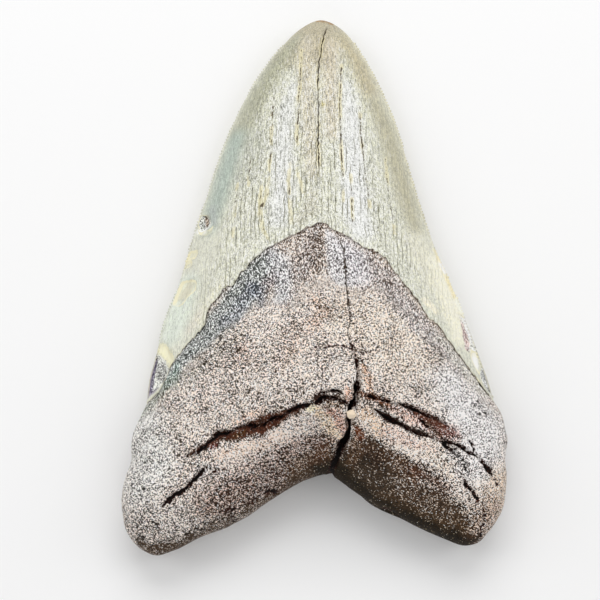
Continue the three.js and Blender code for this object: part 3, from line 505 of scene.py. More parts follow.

# Stains, painted shade and painted sheen on the enamel, the same way.
ENAMEL_BASE = (217, 217, 205)
ENAMEL_STAINS_AND_SHADING = [
    # the tip and the upper flanks: the enamel's own beige and grey-green, deepened with painted shade where they slope
    # away from the light
    ((182, 176, 158), 6, 0.95, [(0, 64, 7), (0, 55, 3)]),
    ((183, 175, 155), 3, 0.9, [(-5, 58, 1.4), (-8, 54, 1.8)]),
    ((178, 178, 163), 3.2, 0.97, [(-4.6, 59, 1), (-9.8, 51.5, 1.8), (-14.8, 42.4, 2), (-18.2, 34.4, 2)]),
    ((181, 189, 181), 3.2, 0.97, [(-18.8, 33, 1.8), (-21.4, 24, 1.9), (-23.6, 16.4, 1.7), (-25, 11, 1)]),
    ((193, 194, 185), 3, 0.7, [(-13.6, 33, 2), (-16.8, 22, 2)]),
    ((190, 184, 163), 3, 0.95, [(7, 59.4, 1.4), (10.6, 53, 1.6), (13.2, 46, 1.6)]),
    ((189, 186, 168), 3, 0.97, [(14.6, 42, 1.4), (17.4, 35, 1.6), (19.8, 26, 1.7), (21.8, 18, 1.6), (23.6, 10.4, 1)]),
    ((228, 226, 211), 3.5, 0.8, [(24, 6, 2.5), (28, -3, 2.5)]),
    ((243, 240, 220), 2.5, 0.97, [(28.5, 3, 1), (31, -5, 2.2), (33.4, -12, 2.4), (33.6, -16, 1.4)]),
    ((225, 231, 220), 2.6, 0.9, [(-30, -3, 2), (-31.7, -9.6, 2.4), (-33.4, -15, 2)]),
    ((226, 224, 206), 1.6, 0.8, [(-26.4, -13.4, 0.8), (-24.6, -9, 0.6), (-20.6, -4, 0.5)]),
    ((206, 201, 187), 2.6, 0.8, [(-1.9, 58, 1), (-1.9, 44, 1.4), (-1, 30, 1.2), (-0.7, 22, 0.8)]),
    ((207, 200, 185), 2.6, 0.75, [(3.9, 57, 1), (3.8, 44, 1.4), (4, 33, 0.8)]),
    # two bands of painted sheen down the crown, where light glints off the rounded enamel
    ((217, 218, 214), 2.4, 0.8, [(-4.9, 46.4, 0.1), (-6.8, 39.1, 0.8), (-7.6, 28.6, 1.6), (-7.4, 17.2, 2), (-8.3, 10.5, 1.8)]),
    ((226, 227, 224), 2.6, 0.85, [(7.6, 47, 0.1), (8.7, 38.3, 1.3), (9, 26.1, 2.2), (9.3, 12.9, 2.6), (10.8, 7.7, 2.2)]),
    ((200, 198, 187), 1.6, 0.8, [(-0.6, 17, 0.8), (-1.2, 12.6, 1.6), (-3.4, 9.6, 1)]),
    # light comes through the thin cutting edges
    ((228, 228, 214), 1, 0.8, [(-28.2, 13, 0.1), (-25.9, 20.2, 0.1), (-22.5, 31.6, 0.1), (-17.5, 44, 0.1), (-11.8, 53.9, 0.1), (-5.8, 61.4, 0.1)]),
    ((230, 226, 202), 1, 0.8, [(28.5, 7.4, 0.1), (25.6, 16.4, 0.1), (23.1, 25.5, 0.1), (19.9, 37.8, 0.1), (14.9, 50.2, 0.1), (8.8, 60.8, 0.1)]),
    # stains and raw layers along the cutting edges
    ((225, 221, 210), 1.2, 0.6, [(-26.2, -11, 0.6), (-28.6, -14.9, 0.7)]),
    ((247, 240, 215), 0.9, 0.7, [(25.4, -8.4, 0.7), (27.6, -10.6, 0.5)]),
    ((240, 230, 190), 0.6, 0.9, [(28.6, 6, 0.3), (30, 2, 0.4), (31.4, -1.4, 0.5), (33, -5.5, 0.4)]),
    ((250, 250, 249), 0.4, 0.85, [(29.6, 2.8, 0.3), (30.6, 0.6, 0.4)]),
    ((250, 250, 231), 0.5, 0.9, [(33.2, -5.8, 0.3), (34.4, -8.6, 0.4)]),
    ((195, 194, 185), 0.6, 0.9, [(-29.6, -3.4, 1), (-31, -5.6, 1.2)]),
    ((250, 246, 205), 0.5, 0.97, [(-36, -17.6, 0.9), (-34.4, -19.4, 0.9), (-33, -21.8, 0.5)]),
    ((170, 169, 163), 0.6, 0.95, [(-36, -22, 0.9), (-35.6, -25.4, 1)]),
    ((128, 120, 143), 0.6, 0.95, [(-37.6, -20.4, 0.5), (-38.2, -24, 0.5), (-38.8, -28.6, 0.6), (-36.6, -27.8, 0.3)]),
    ((250, 250, 250), 0.6, 0.85, [(35.6, -10.4, 0.4), (36.8, -13.8, 0.5), (37.4, -16, 0.3)]),
    ((199, 171, 165), 0.5, 0.92, [(34.6, -11.4, 0.4), (35.2, -14.4, 0.7), (35.8, -17, 0.6), (35.2, -18.4, 0.3)]),
    ((250, 250, 250), 0.5, 0.97, [(37, -18.8, 0.8), (37.4, -21, 1), (37.6, -22.8, 0.5)]),
    ((184, 184, 183), 0.6, 0.92, [(39.6, -23, 0.6), (39.8, -26, 0.9), (41, -28.6, 0.4)]),
    ((181, 185, 181), 1, 0.85, [(-24.4, 15.9, 0.6), (-23.9, 13.6, 0.6), (-24, 11.6, 0.4)]),
    ((159, 135, 111), 0.5, 0.9, [(-26, 13.6, 0.5), (-25.9, 12, 0.5)]),
    ((250, 250, 246), 0.4, 0.95, [(-28, 10.6, 0.3), (-26.4, 10.2, 0.5), (-25.2, 11.3, 0.3)]),
    ((202, 195, 159), 0.4, 0.85, [(1.9, 40.8, 0.5)]),
    ((156, 134, 106), 0.5, 0.92, [(0.4, 64.8, 0.2), (2, 65, 0.3), (4.2, 64.4, 0.3)]),
]
# The two bands of painted sheen down the crown, where the enamel sparkles more.
SHEEN_BANDS = [
    [(-4.9, 46.4, 0.4, 0), (-7.2, 39.1, 1.4, 0), (-7.6, 28.6, 2, 0), (-7.4, 17.2, 2.2, 0), (-8.3, 10.5, 1.8, 0)],
    [(7.8, 46, 0.6, 0), (8.9, 38.3, 1.8, 0), (9, 26.1, 2.4, 0), (9.3, 12.9, 2.4, 0), (10.8, 7.7, 1.8, 0)],
]


def from_photo(colour):
    """Linear red, green and blue from the 0 to 255 values that a photograph has."""
    srgb = np.array(colour) / 255
    return np.where(srgb <= 0.04045, srgb / 12.92, ((srgb + 0.055) / 1.055) ** 2.4)


def stained_and_shaded(base, stains, x, y):
    """The colour of a surface at each point, with its stains and its painted light and shade laid on."""
    colours = np.tile(from_photo(base), (len(x), 1))
    for colour, soft, strength, line in stains:
        if len(line) == 1:
            line = line + [(line[0][0] + 0.01, *line[0][1:])]
        away = trace([[(*place, 0) for place in line]], x, y)[0]
        share = strength * smooth(soft, -soft / 2, away)
        colours += (from_photo(colour) - colours) * share[:, None]
    return colours


enamelled = sheet[:, 1] > 1
tone = stained_and_shaded(ROOT_BONE, ROOT_STAINS_AND_SHADING + BASE_SHADE, cloud_x, cloud_y)
tone[enamelled] = stained_and_shaded(ENAMEL_BASE, ENAMEL_STAINS_AND_SHADING, jagged_x, jagged_y)[enamelled]
labial_root = stained_and_shaded((178, 166, 154), BASE_SHADE, cloud_x, cloud_y)
labial_tone = np.where(enamelled[:, None], from_photo((216, 213, 197)), labial_root)
tone = np.where(on_lingual[:, None], tone, labial_tone)
sheen_band = smooth(1.5, -1, trace(SHEEN_BANDS, x, y)[0])
# The crown is smooth towards its cutting edges and its tip, and weathered down its middle.
middle = smooth(0.1, 0.3, sheet[:, 0]) * smooth(0.9, 0.72, sheet[:, 0]) * smooth(1.95, 1.65, sheet[:, 1])
sparkle = np.where(enamelled, 0.16 + 0.34 * middle + 0.5 * sheen_band * middle, 1)
# The split runs on round the base on to the labial face.
split_away = trace(ROOT_CRACKS[1:2], jagged_x, jagged_y)
round_base = np.maximum(0, sheet[:, 1] - 0.06) * 12
root_crack = np.where(on_lingual, root_crack, split_away[0] + round_base)
root_sink = np.where(on_lingual, root_sink, split_away[1] * smooth(0.14, 0.05, sheet[:, 1]))
enamel_crack[~on_lingual] = 99
enamel_sink[~on_lingual] = 0
flake_sink[~on_lingual] = 0


def store(mesh, name, values, kind="FLOAT"):
    layer = mesh.attributes.new(name, kind, "POINT")
    layer.data.foreach_set("vector" if kind == "FLOAT_VECTOR" else "value", np.asarray(values, float).ravel())


far = 99.0
store(tooth_mesh, "sheet", sheet, "FLOAT_VECTOR")
store(tooth_mesh, "crack", np.minimum(root_crack, enamel_crack))
store(tooth_mesh, "cream_flake", np.where(on_lingual, cream, far))
store(tooth_mesh, "dark_flake", np.where(on_lingual, dark, far))
store(tooth_mesh, "band", np.where(on_lingual, band, far))
store(tooth_mesh, "below_enamel", np.where(on_lingual, below_enamel, far))
store(tooth_mesh, "beside_main", np.where(on_lingual, beside_main, far))
store(tooth_mesh, "tone", tone, "FLOAT_VECTOR")
store(tooth_mesh, "sparkle", sparkle)
store(tooth_mesh, "sink", (np.maximum(root_sink, enamel_sink) + flake_sink) * MM)
rim_point = np.zeros(len(points))
rim_point[lingual_ids[:, 0]] = 1
rim_point[lingual_ids[:, -1]] = 1
store(tooth_mesh, "cutting_edge", rim_point * (sheet[:, 1] > 1.03) * (sheet[:, 1] < 1.96))
tooth_mesh.polygons.foreach_set("use_smooth", [True] * len(faces))
tooth = bpy.data.objects.new("tooth_surface", tooth_mesh)
bpy.context.scene.collection.objects.link(tooth)


def add(tree, kind, inputs=None, **settings):
    """A node with its settings, and its inputs set to values or joined to other nodes' outputs."""
    node = tree.nodes.new(kind)
    for name, value in settings.items():
        setattr(node, name, value)
    for name, value in (inputs or {}).items():
        if isinstance(value, bpy.types.NodeSocket):
            tree.links.new(value, node.inputs[name])
        else:
            node.inputs[name].default_value = value
    return node


def maths(tree, operation, first, second=0.0, clamp=False):
    kind = "ShaderNodeMath"
    return add(tree, kind, {0: first, 1: second}, operation=operation, use_clamp=clamp).outputs[0]


def between(tree, value, low, high, to_low=0.0, to_high=1.0, easing="SMOOTHSTEP"):
    inputs = {"Value": value, "From Min": low, "From Max": high, "To Min": to_low, "To Max": to_high}
    return add(tree, "ShaderNodeMapRange", inputs, interpolation_type=easing).outputs["Result"]


def scaled(tree, vector, scale):
    return add(tree, "ShaderNodeVectorMath", {0: vector, 1: scale}, operation="MULTIPLY").outputs[0]


def group_of(kind, name, inputs, outputs):
    """An empty node group with named inputs and outputs, and its two end nodes."""
    tree = bpy.data.node_groups.new(name, kind)
    for label, socket, *default in inputs:
        made = tree.interface.new_socket(label, in_out="INPUT", socket_type=socket)
        if default:
            made.default_value = default[0]
    for label, socket in outputs:
        tree.interface.new_socket(label, in_out="OUTPUT", socket_type=socket)
    return tree, tree.nodes.new("NodeGroupInput").outputs, tree.nodes.new("NodeGroupOutput").inputs


# The relief that burial and growth left, and the serrations of the two cutting edges.
relief, given, result = group_of(
    "GeometryNodeTree",
    "tooth relief",
    [
        ("Geometry", "NodeSocketGeometry"),
        ("Grain Depth", "NodeSocketFloat", 0.00012),
        ("Lump Depth", "NodeSocketFloat", 0.0005),
        ("Groove Spacing", "NodeSocketFloat", 0.0012),
        ("Groove Depth", "NodeSocketFloat", 0.00006),
        ("Serration Pitch", "NodeSocketFloat", 0.00078),
        ("Serration Size", "NodeSocketVector", (0.00034, 0.00036, 0.00026)),
        ("Seed", "NodeSocketInt", 7),
        ("Material", "NodeSocketMaterial"),
    ],
    [("Geometry", "NodeSocketGeometry")],
)


def attribute(tree, name, kind="FLOAT"):
    node = add(tree, "GeometryNodeInputNamedAttribute", {"Name": name}, data_type=kind)
    return node.outputs["Attribute"]


place = add(relief, "GeometryNodeInputPosition").outputs[0]
normal = add(relief, "GeometryNodeInputNormal").outputs[0]
sheet_parts = add(relief, "ShaderNodeSeparateXYZ", {0: attribute(relief, "sheet", "FLOAT_VECTOR")}).outputs
rooty = between(relief, sheet_parts["Y"], 1.0, 1.004, 1, 0)
grain = add(relief, "ShaderNodeTexNoise", {"Vector": place, "Scale": 900.0, "Detail": 3.0, "Roughness": 0.7})
lumps = add(relief, "ShaderNodeTexNoise", {"Vector": place, "Scale": 110.0, "Detail": 2.0})
grain_rise = maths(relief, "MULTIPLY", maths(relief, "SUBTRACT", grain.outputs[0], 0.5), given["Grain Depth"])
lump_rise = maths(relief, "MULTIPLY", maths(relief, "SUBTRACT", lumps.outputs[0], 0.55), given["Lump Depth"])
root_rise = maths(relief, "MULTIPLY", maths(relief, "ADD", grain_rise, lump_rise), maths(relief, "MULTIPLY", rooty, 2.0))
groove_scale = maths(relief, "DIVIDE", 1.0, given["Groove Spacing"])
groove_place = scaled(relief, place, (1, 0.06, 0))
grooves = add(relief, "ShaderNodeTexNoise", {"Vector": groove_place, "Scale": groove_scale, "Detail": 2.0})
groove_shape = between(relief, grooves.outputs[0], 0.25, 0.5, -1, 0)
groove_rise = maths(relief, "MULTIPLY", groove_shape, given["Groove Depth"])
away_from_tip = between(relief, sheet_parts["Y"], 1.7, 1.3)
groove_rise = maths(relief, "MULTIPLY", groove_rise, away_from_tip)
enamel_rise = maths(relief, "MULTIPLY", groove_rise, maths(relief, "SUBTRACT", 1.0, rooty))
rise = maths(relief, "SUBTRACT", maths(relief, "ADD", root_rise, enamel_rise), attribute(relief, "sink"))
moved = add(relief, "ShaderNodeVectorMath", {0: normal, "Scale": rise}, operation="SCALE").outputs[0]
reliefed = add(relief, "GeometryNodeSetPosition", {"Geometry": given["Geometry"], "Offset": moved})
# Nothing reaches below the surface that the tooth lies on.
moved_place = add(relief, "GeometryNodeInputPosition").outputs[0]
lifted = add(relief, "ShaderNodeVectorMath", {0: moved_place, 1: (-1, -1, 0)}, operation="MAXIMUM").outputs[0]
grounded = add(relief, "GeometryNodeSetPosition", {"Geometry": reliefed.outputs[0], "Position": lifted})

on_edge = add(
    relief, "FunctionNodeCompare", {0: attribute(relief, "cutting_edge"), 1: 0.99}, data_type="FLOAT", operation="GREATER_THAN"
).outputs[0]
edge_curve = add(relief, "GeometryNodeMeshToCurve", {"Mesh": grounded.outputs[0], "Selection": on_edge})
edge_points = add(
    relief, "GeometryNodeResampleCurve", {"Curve": edge_curve.outputs[0], "Length": given["Serration Pitch"]}, mode="LENGTH"
)
tangent = add(relief, "GeometryNodeInputTangent").outputs[0]
turned = add(relief, "FunctionNodeAlignRotationToVector", {"Vector": tangent}, axis="X").outputs[0]
wear_field = add(relief, "ShaderNodeTexNoise", {"Vector": place, "Scale": 140.0, "Detail": 1.0}).outputs[0]
wear = between(relief, wear_field, 0.35, 0.55, 0.35, 1)
own_size = add(relief, "FunctionNodeRandomValue", {2: 0.8, 3: 1.1, "Seed": given["Seed"]}, data_type="FLOAT").outputs[1]
bump_size = maths(relief, "MULTIPLY", wear, own_size)
serration_size = add(
    relief, "ShaderNodeVectorMath", {0: given["Serration Size"], "Scale": bump_size}, operation="SCALE"
).outputs[0]
bead = add(relief, "GeometryNodeMeshUVSphere", {"Segments": 8, "Rings": 4, "Radius": 1.0})
smooth_bead = add(relief, "GeometryNodeSetShadeSmooth", {"Geometry": bead.outputs["Mesh"]})
beads = add(
    relief,
    "GeometryNodeInstanceOnPoints",
    {
        "Points": edge_points.outputs[0],
        "Instance": smooth_bead.outputs[0],
        "Rotation": turned,
        "Scale": serration_size,
    },
)
joined = add(relief, "GeometryNodeJoinGeometry")
relief.links.new(beads.outputs[0], joined.inputs[0])
relief.links.new(grounded.outputs[0], joined.inputs[0])
realized = add(relief, "GeometryNodeRealizeInstances", {"Geometry": joined.outputs[0]})
finished = add(relief, "GeometryNodeSetMaterial", {"Geometry": realized.outputs[0], "Material": given["Material"]})
relief.links.new(finished.outputs[0], result[0])


# A matrix with paler crystals in it, as many of them as give the tone on the whole. Neighbours tend to differ.
speckle, given, result = group_of(
    "ShaderNodeTree",
    "mineral speckle",
    [
        ("Vector", "NodeSocketVector"),
        ("Tone", "NodeSocketColor", (0.4, 0.4, 0.4, 1)),
        ("Grain Size", "NodeSocketFloat", 0.0002),
        ("Sparkle", "NodeSocketFloat", 1.0),
        ("Matrix Level", "NodeSocketFloat", 0.08),
        ("Softness", "NodeSocketFloat", 0.03),
    ],
    [("Color", "NodeSocketColor"), ("Height", "NodeSocketFloat")],
)
PALE_LEVEL = 0.97
NEIGHBOUR_CONTRAST = 0.15
frequency = maths(speckle, "DIVIDE", 1.0, given["Grain Size"])
drifting = add(speckle, "ShaderNodeTexNoise", {"Vector": given["Vector"], "Scale": 500.0, "Detail": 1.0}).outputs["Color"]
drifting = add(speckle, "ShaderNodeVectorMath", {0: drifting, "Scale": 0.0007}, operation="SCALE").outputs[0]
warped = add(speckle, "ShaderNodeVectorMath", {0: given["Vector"], 1: drifting}, operation="ADD").outputs[0]
cells = add(speckle, "ShaderNodeTexVoronoi", {"Vector": warped, "Scale": frequency})
chances = add(speckle, "ShaderNodeSeparateColor", {0: cells.outputs["Color"]}).outputs
lattice = add(speckle, "ShaderNodeVectorMath", {0: cells.outputs["Position"], "Scale": frequency}, operation="SCALE").outputs[0]
lattice = add(speckle, "ShaderNodeVectorMath", {0: lattice}, operation="FLOOR").outputs[0]
lattice_sum = add(speckle, "ShaderNodeVectorMath", {0: lattice, 1: (1, 1, 1)}, operation="DOT_PRODUCT").outputs["Value"]
odd = maths(speckle, "FLOORED_MODULO", lattice_sum, 2.0)
chance = maths(
    speckle,
    "ADD",
    maths(speckle, "MULTIPLY", chances[0], 1 - NEIGHBOUR_CONTRAST),
    maths(speckle, "MULTIPLY", odd, NEIGHBOUR_CONTRAST),
)
level = maths(speckle, "MAXIMUM", add(speckle, "ShaderNodeRGBToBW", {0: given["Tone"]}).outputs[0], 0.001)
dim = between(speckle, level, 0.04, 0.34, 0.36, 0)
matrix_share = maths(speckle, "MAXIMUM", given["Matrix Level"], dim)
matrix_level = maths(speckle, "MULTIPLY", level, matrix_share)
channels = add(speckle, "ShaderNodeSeparateColor", {0: given["Tone"]}).outputs
brightest = maths(speckle, "MAXIMUM", maths(speckle, "MAXIMUM", channels[0], channels[1]), maths(speckle, "MAXIMUM", channels[2], 0.001))
to_pale = maths(speckle, "DIVIDE", PALE_LEVEL, brightest)
own_level = maths(speckle, "MULTIPLY", maths(speckle, "MULTIPLY", level, to_pale), 0.55)
dimmest = between(speckle, level, 0.05, 0.35, 0.2, 0.9)
mean_size = maths(speckle, "MULTIPLY", maths(speckle, "ADD", dimmest, 1.0), 0.5)
crystal_level = maths(speckle, "MULTIPLY", maths(speckle, "ADD", own_level, 0.45 * PALE_LEVEL), mean_size)
pale_share = maths(
    speckle, "DIVIDE", maths(speckle, "SUBTRACT", level, matrix_level), maths(speckle, "SUBTRACT", crystal_level, matrix_level)
)
is_pale = between(
    speckle, chance, maths(speckle, "ADD", pale_share, given["Softness"]), maths(speckle, "SUBTRACT", pale_share, given["Softness"])
)
# The darker a grain, the stronger its hue.
squared = add(speckle, "ShaderNodeVectorMath", {0: given["Tone"], 1: given["Tone"]}, operation="MULTIPLY").outputs[0]
vivid = add(speckle, "ShaderNodeVectorMath", {0: squared, "Scale": maths(speckle, "DIVIDE", 1.0, level)}, operation="SCALE").outputs[0]
matrix_size = maths(speckle, "MULTIPLY", matrix_share, between(speckle, chances[1], 0, 1, 0.15, 1.85, "LINEAR"))
matrix = add(speckle, "ShaderNodeVectorMath", {0: vivid, "Scale": matrix_size}, operation="SCALE").outputs[0]
own_hue = add(speckle, "ShaderNodeVectorMath", {0: given["Tone"], "Scale": to_pale}, operation="SCALE").outputs[0]
whiteness = between(speckle, chances[2], 0.5, 0.9, 0.25, 0.9)
white = (PALE_LEVEL, PALE_LEVEL, PALE_LEVEL, 1)
crystal = add(speckle, "ShaderNodeMix", {0: whiteness, 6: own_hue, 7: white}, data_type="RGBA").outputs[2]
crystal_size = add(speckle, "ShaderNodeMapRange", {0: chances[1], 3: dimmest, 4: 1.0}).outputs[0]
crystal = add(speckle, "ShaderNodeVectorMath", {0: crystal, "Scale": crystal_size}, operation="SCALE").outputs[0]
grained = add(speckle, "ShaderNodeMix", {0: is_pale, 6: matrix, 7: crystal}, data_type="RGBA").outputs[2]
mixed = add(speckle, "ShaderNodeMix", {0: given["Sparkle"], 6: given["Tone"], 7: grained}, data_type="RGBA")
roughness = add(speckle, "ShaderNodeTexNoise", {"Vector": given["Vector"], "Scale": frequency, "Detail": 2.0})
speckle.links.new(mixed.outputs[2], result["Color"])
speckle.links.new(roughness.outputs[0], result["Height"])

# Fine lines that run along the tooth, unevenly spaced, slightly wandering and broken into dashes.
lining, given, result = group_of(
    "ShaderNodeTree",
    "growth lines",
    [
        ("Vector", "NodeSocketVector"),
        ("Spacing", "NodeSocketFloat", 0.0012),
        ("Width", "NodeSocketFloat", 0.00018),
        ("Dash Length", "NodeSocketFloat", 0.004),
        ("Coverage", "NodeSocketFloat", 0.5),
    ],
    [("Mask", "NodeSocketFloat")],
)
parts = add(lining, "ShaderNodeSeparateXYZ", {0: given["Vector"]}).outputs
wander_place = scaled(lining, given["Vector"], (90, 260, 0))
wander = add(lining, "ShaderNodeTexNoise", {"Vector": wander_place, "Scale": 1.0, "Detail": 1.0}).outputs[0]
wandering = maths(lining, "ADD", parts["X"], maths(lining, "MULTIPLY", wander, 0.0012))
step_place = maths(lining, "DIVIDE", wandering, given["Spacing"])
gaps = add(lining, "ShaderNodeTexVoronoi", {"W": step_place, "Scale": 1.0}, voronoi_dimensions="1D", feature="DISTANCE_TO_EDGE")
half_share = maths(lining, "DIVIDE", maths(lining, "MULTIPLY", given["Width"], 0.5), given["Spacing"])
line_mask = between(lining, gaps.outputs["Distance"], maths(lining, "MULTIPLY", half_share, 1.5), half_share)
dash_y = maths(lining, "DIVIDE", parts["Y"], given["Dash Length"])
dash_place = add(lining, "ShaderNodeCombineXYZ", {"X": maths(lining, "MULTIPLY", step_place, 1.7), "Y": dash_y}).outputs[0]
dashes = add(lining, "ShaderNodeTexNoise", {"Vector": dash_place, "Scale": 1.0, "Detail": 2.0}).outputs[0]
dash_level = between(lining, given["Coverage"], 0, 1, 0.8, 0.2, "LINEAR")
dash_mask = between(lining, dashes, maths(lining, "SUBTRACT", dash_level, 0.03), maths(lining, "ADD", dash_level, 0.03))
lining.links.new(maths(lining, "MULTIPLY", line_mask, dash_mask), result["Mask"])

# The tooth's material: enamel, bourlette, root and every break in them.
fossil = bpy.data.materials.new("fossil_tooth")
fossil.use_nodes = True
shade = fossil.node_tree
principled = shade.nodes["Principled BSDF"]
here = add(shade, "ShaderNodeTexCoord").outputs["Object"]


def read(tree, name):
    return add(tree, "ShaderNodeAttribute", attribute_name=name)


def use(tree, group, inputs):
    node = tree.nodes.new("ShaderNodeGroup")
    node.node_tree = group
    for name, value in inputs.items():
        if isinstance(value, bpy.types.NodeSocket):
            tree.links.new(value, node.inputs[name])
        else:
            node.inputs[name].default_value = value
    return node.outputs


def rgb(red, green, blue):
    return (*from_photo((red, green, blue)).tolist(), 1.0)


def tint(tree, share, first, second):
    return add(tree, "ShaderNodeMix", {0: share, 6: first, 7: second}, data_type="RGBA").outputs[2]


def darker(tree, share, first, colour):
    """A stain that lets what is under it show through."""
    return add(tree, "ShaderNodeMix", {0: share, 6: first, 7: colour}, data_type="RGBA", blend_type="MULTIPLY").outputs[2]


sheet_at = add(shade, "ShaderNodeSeparateXYZ", {0: read(shade, "sheet").outputs["Vector"]}).outputs
spot = add(shade, "ShaderNodeSeparateXYZ", {0: here}).outputs
toned = read(shade, "tone").outputs["Vector"]
sparkling = read(shade, "sparkle").outputs["Fac"]
ragged = add(shade, "ShaderNodeTexNoise", {"Vector": here, "Scale": 1500.0, "Detail": 2.0}).outputs[0]
torn = add(shade, "ShaderNodeTexNoise", {"Vector": here, "Scale": 600.0, "Detail": 3.0}).outputs[0]
patches = add(shade, "ShaderNodeTexNoise", {"Vector": here, "Scale": 160.0, "Detail": 3.0}).outputs[0]

# The enamel ends in a crisp, slightly ragged edge.
ragged_along = maths(shade, "ADD", sheet_at["Y"], maths(shade, "MULTIPLY", maths(shade, "SUBTRACT", ragged, 0.5), 0.016))
on_enamel = between(shade, ragged_along, 1.0, 1.003)
on_root = maths(shade, "SUBTRACT", 1.0, on_enamel)

# Root: crystals in a brown matrix. Cloudy patches make it paler or darker.
cloudy = tint(shade, between(shade, patches, 0.35, 0.65), (0.88, 0.87, 0.86, 1), (1.12, 1.12, 1.12, 1))
root_tone = darker(shade, 1.0, toned, cloudy)
root_speck = use(shade, speckle, {"Vector": here, "Tone": root_tone, "Grain Size": 0.0002, "Sparkle": sparkling})

# Bourlette: the same crystals drawn out along the tooth, in a paler matrix.
band_at = read(shade, "band").outputs["Fac"]
ragged_band = maths(shade, "ADD", band_at, maths(shade, "MULTIPLY", maths(shade, "SUBTRACT", patches, 0.5), 0.6))
in_band = between(shade, ragged_band, 1.1, 0.7)
drawn_out = scaled(shade, here, (1, 0.55, 1))
long_speck = use(shade, speckle, {"Vector": drawn_out, "Tone": toned, "Grain Size": 0.00016, "Matrix Level": 0.2})
root = tint(shade, in_band, root_speck["Color"], long_speck["Color"])
# A thin line of painted shadow on the root, under the enamel's edge.
enamel_edge_shadow = between(shade, read(shade, "below_enamel").outputs["Fac"], 0.4, 0.1)
root = darker(shade, maths(shade, "MULTIPLY", enamel_edge_shadow, 0.5), root, rgb(120, 114, 110))

# Enamel: fine streaks along its growth, stronger in the bands of painted sheen, with dark hairlines lower down.
enamel_matrix = between(shade, sparkling, 0.1, 1, 0.93, 0.5, "LINEAR")
enamel_sparkle = between(shade, sparkling, 0.12, 0.5, 0.35, 1, "LINEAR")
streaks = use(shade, speckle, {
    "Vector": scaled(shade, here, (1, 0.13, 1)), "Tone": toned, "Grain Size": 0.0002, "Matrix Level": enamel_matrix, "Softness": 0.2,
    "Sparkle": enamel_sparkle,
})
dots = use(shade, speckle, {
    "Vector": here, "Tone": toned, "Grain Size": 0.0002, "Matrix Level": enamel_matrix, "Sparkle": enamel_sparkle,
})
enamel = tint(shade, 0.45, streaks["Color"], dots["Color"])
hairlines = use(shade, lining, {"Vector": here, "Spacing": 0.0011, "Width": 0.0002, "Dash Length": 0.008, "Coverage": 0.55})["Mask"]
hairlines = maths(shade, "MULTIPLY", hairlines, between(shade, sheet_at["Y"], 1.8, 1.4))
hairlines = maths(shade, "MULTIPLY", hairlines, between(shade, sheet_at["X"], 0.1, 0.3, 0.25, 1))
hairlines = maths(shade, "MULTIPLY", hairlines, between(shade, sheet_at["X"], 0.88, 0.74, 0.3, 1))
hairlines = maths(shade, "MULTIPLY", hairlines, between(shade, patches, 0.42, 0.54, 0.35, 1))
enamel = darker(shade, maths(shade, "MULTIPLY", hairlines, 0.8), enamel, rgb(146, 143, 124))
surface = tint(shade, on_enamel, root, enamel)

# The broken enamel's edge is cream towards both cutting edges.
edge_rim = maths(shade, "MULTIPLY", between(shade, ragged_along, 1.012, 1.004), on_enamel)
edge_rim = maths(shade, "MULTIPLY", edge_rim, between(shade, maths(shade, "ABSOLUTE", spot["X"]), 0.01, 0.016))
surface = tint(shade, maths(shade, "MULTIPLY", edge_rim, 0.7), surface, rgb(236, 232, 206))

# Flakes show the cream layer under the enamel, and deeper ones the grey dentine.
fray = maths(shade, "MULTIPLY", maths(shade, "SUBTRACT", torn, 0.5), 0.7)
cream_at = maths(shade, "ADD", read(shade, "cream_flake").outputs["Fac"], fray)
dark_at = maths(shade, "ADD", read(shade, "dark_flake").outputs["Fac"], fray)
cream_mask = maths(shade, "MULTIPLY", between(shade, cream_at, 0.15, 0.02), between(shade, cream_at, -0.7, -0.3, 0.45, 1))
cream_mask = maths(shade, "MULTIPLY", cream_mask, between(shade, patches, 0.4, 0.5, 0.3, 1))
surface = tint(shade, maths(shade, "MULTIPLY", cream_mask, on_enamel), surface, rgb(242, 236, 204))
dark_rim = maths(shade, "MULTIPLY", between(shade, dark_at, 0.3, 0.15), between(shade, patches, 0.42, 0.52, 0.2, 0.9))
surface = tint(shade, maths(shade, "MULTIPLY", dark_rim, on_enamel), surface, rgb(232, 226, 196))
dentine = use(shade, speckle, {"Vector": here, "Tone": toned, "Grain Size": 0.00021, "Matrix Level": 0.2})["Color"]
surface = tint(shade, maths(shade, "MULTIPLY", between(shade, dark_at, 0.1, 0.0), on_enamel), surface, dentine)

# Cracks are painted black inside, as shade deep in them, and cream flecks line the enamel's.
crumble = maths(shade, "ADD", maths(shade, "MULTIPLY", fray, 1.6), maths(shade, "MULTIPLY", maths(shade, "SUBTRACT", ragged, 0.5), 1.3))
crack_fray = maths(shade, "MULTIPLY", crumble, between(shade, on_enamel, 0, 1, 1, 0.35, "LINEAR"))
crack_at = maths(shade, "ADD", read(shade, "crack").outputs["Fac"], crack_fray)
flecks = maths(shade, "MULTIPLY", between(shade, crack_at, 0.55, 0.2), between(shade, patches, 0.46, 0.56))
surface = tint(shade, maths(shade, "MULTIPLY", maths(shade, "MULTIPLY", flecks, on_enamel), 0.5), surface, rgb(238, 228, 182))
crack_side = use(shade, speckle, {"Vector": here, "Tone": rgb(64, 42, 33), "Grain Size": 0.00018, "Matrix Level": 0.3})["Color"]
crack_side = tint(shade, on_enamel, crack_side, rgb(104, 94, 76))
surface = tint(shade, between(shade, crack_at, 0.1, 0.0), surface, crack_side)
crack_depth_shade = tint(shade, on_enamel, rgb(16, 10, 8), rgb(62, 54, 44))
surface = tint(shade, between(shade, crack_at, -0.06, -0.2), surface, crack_depth_shade)

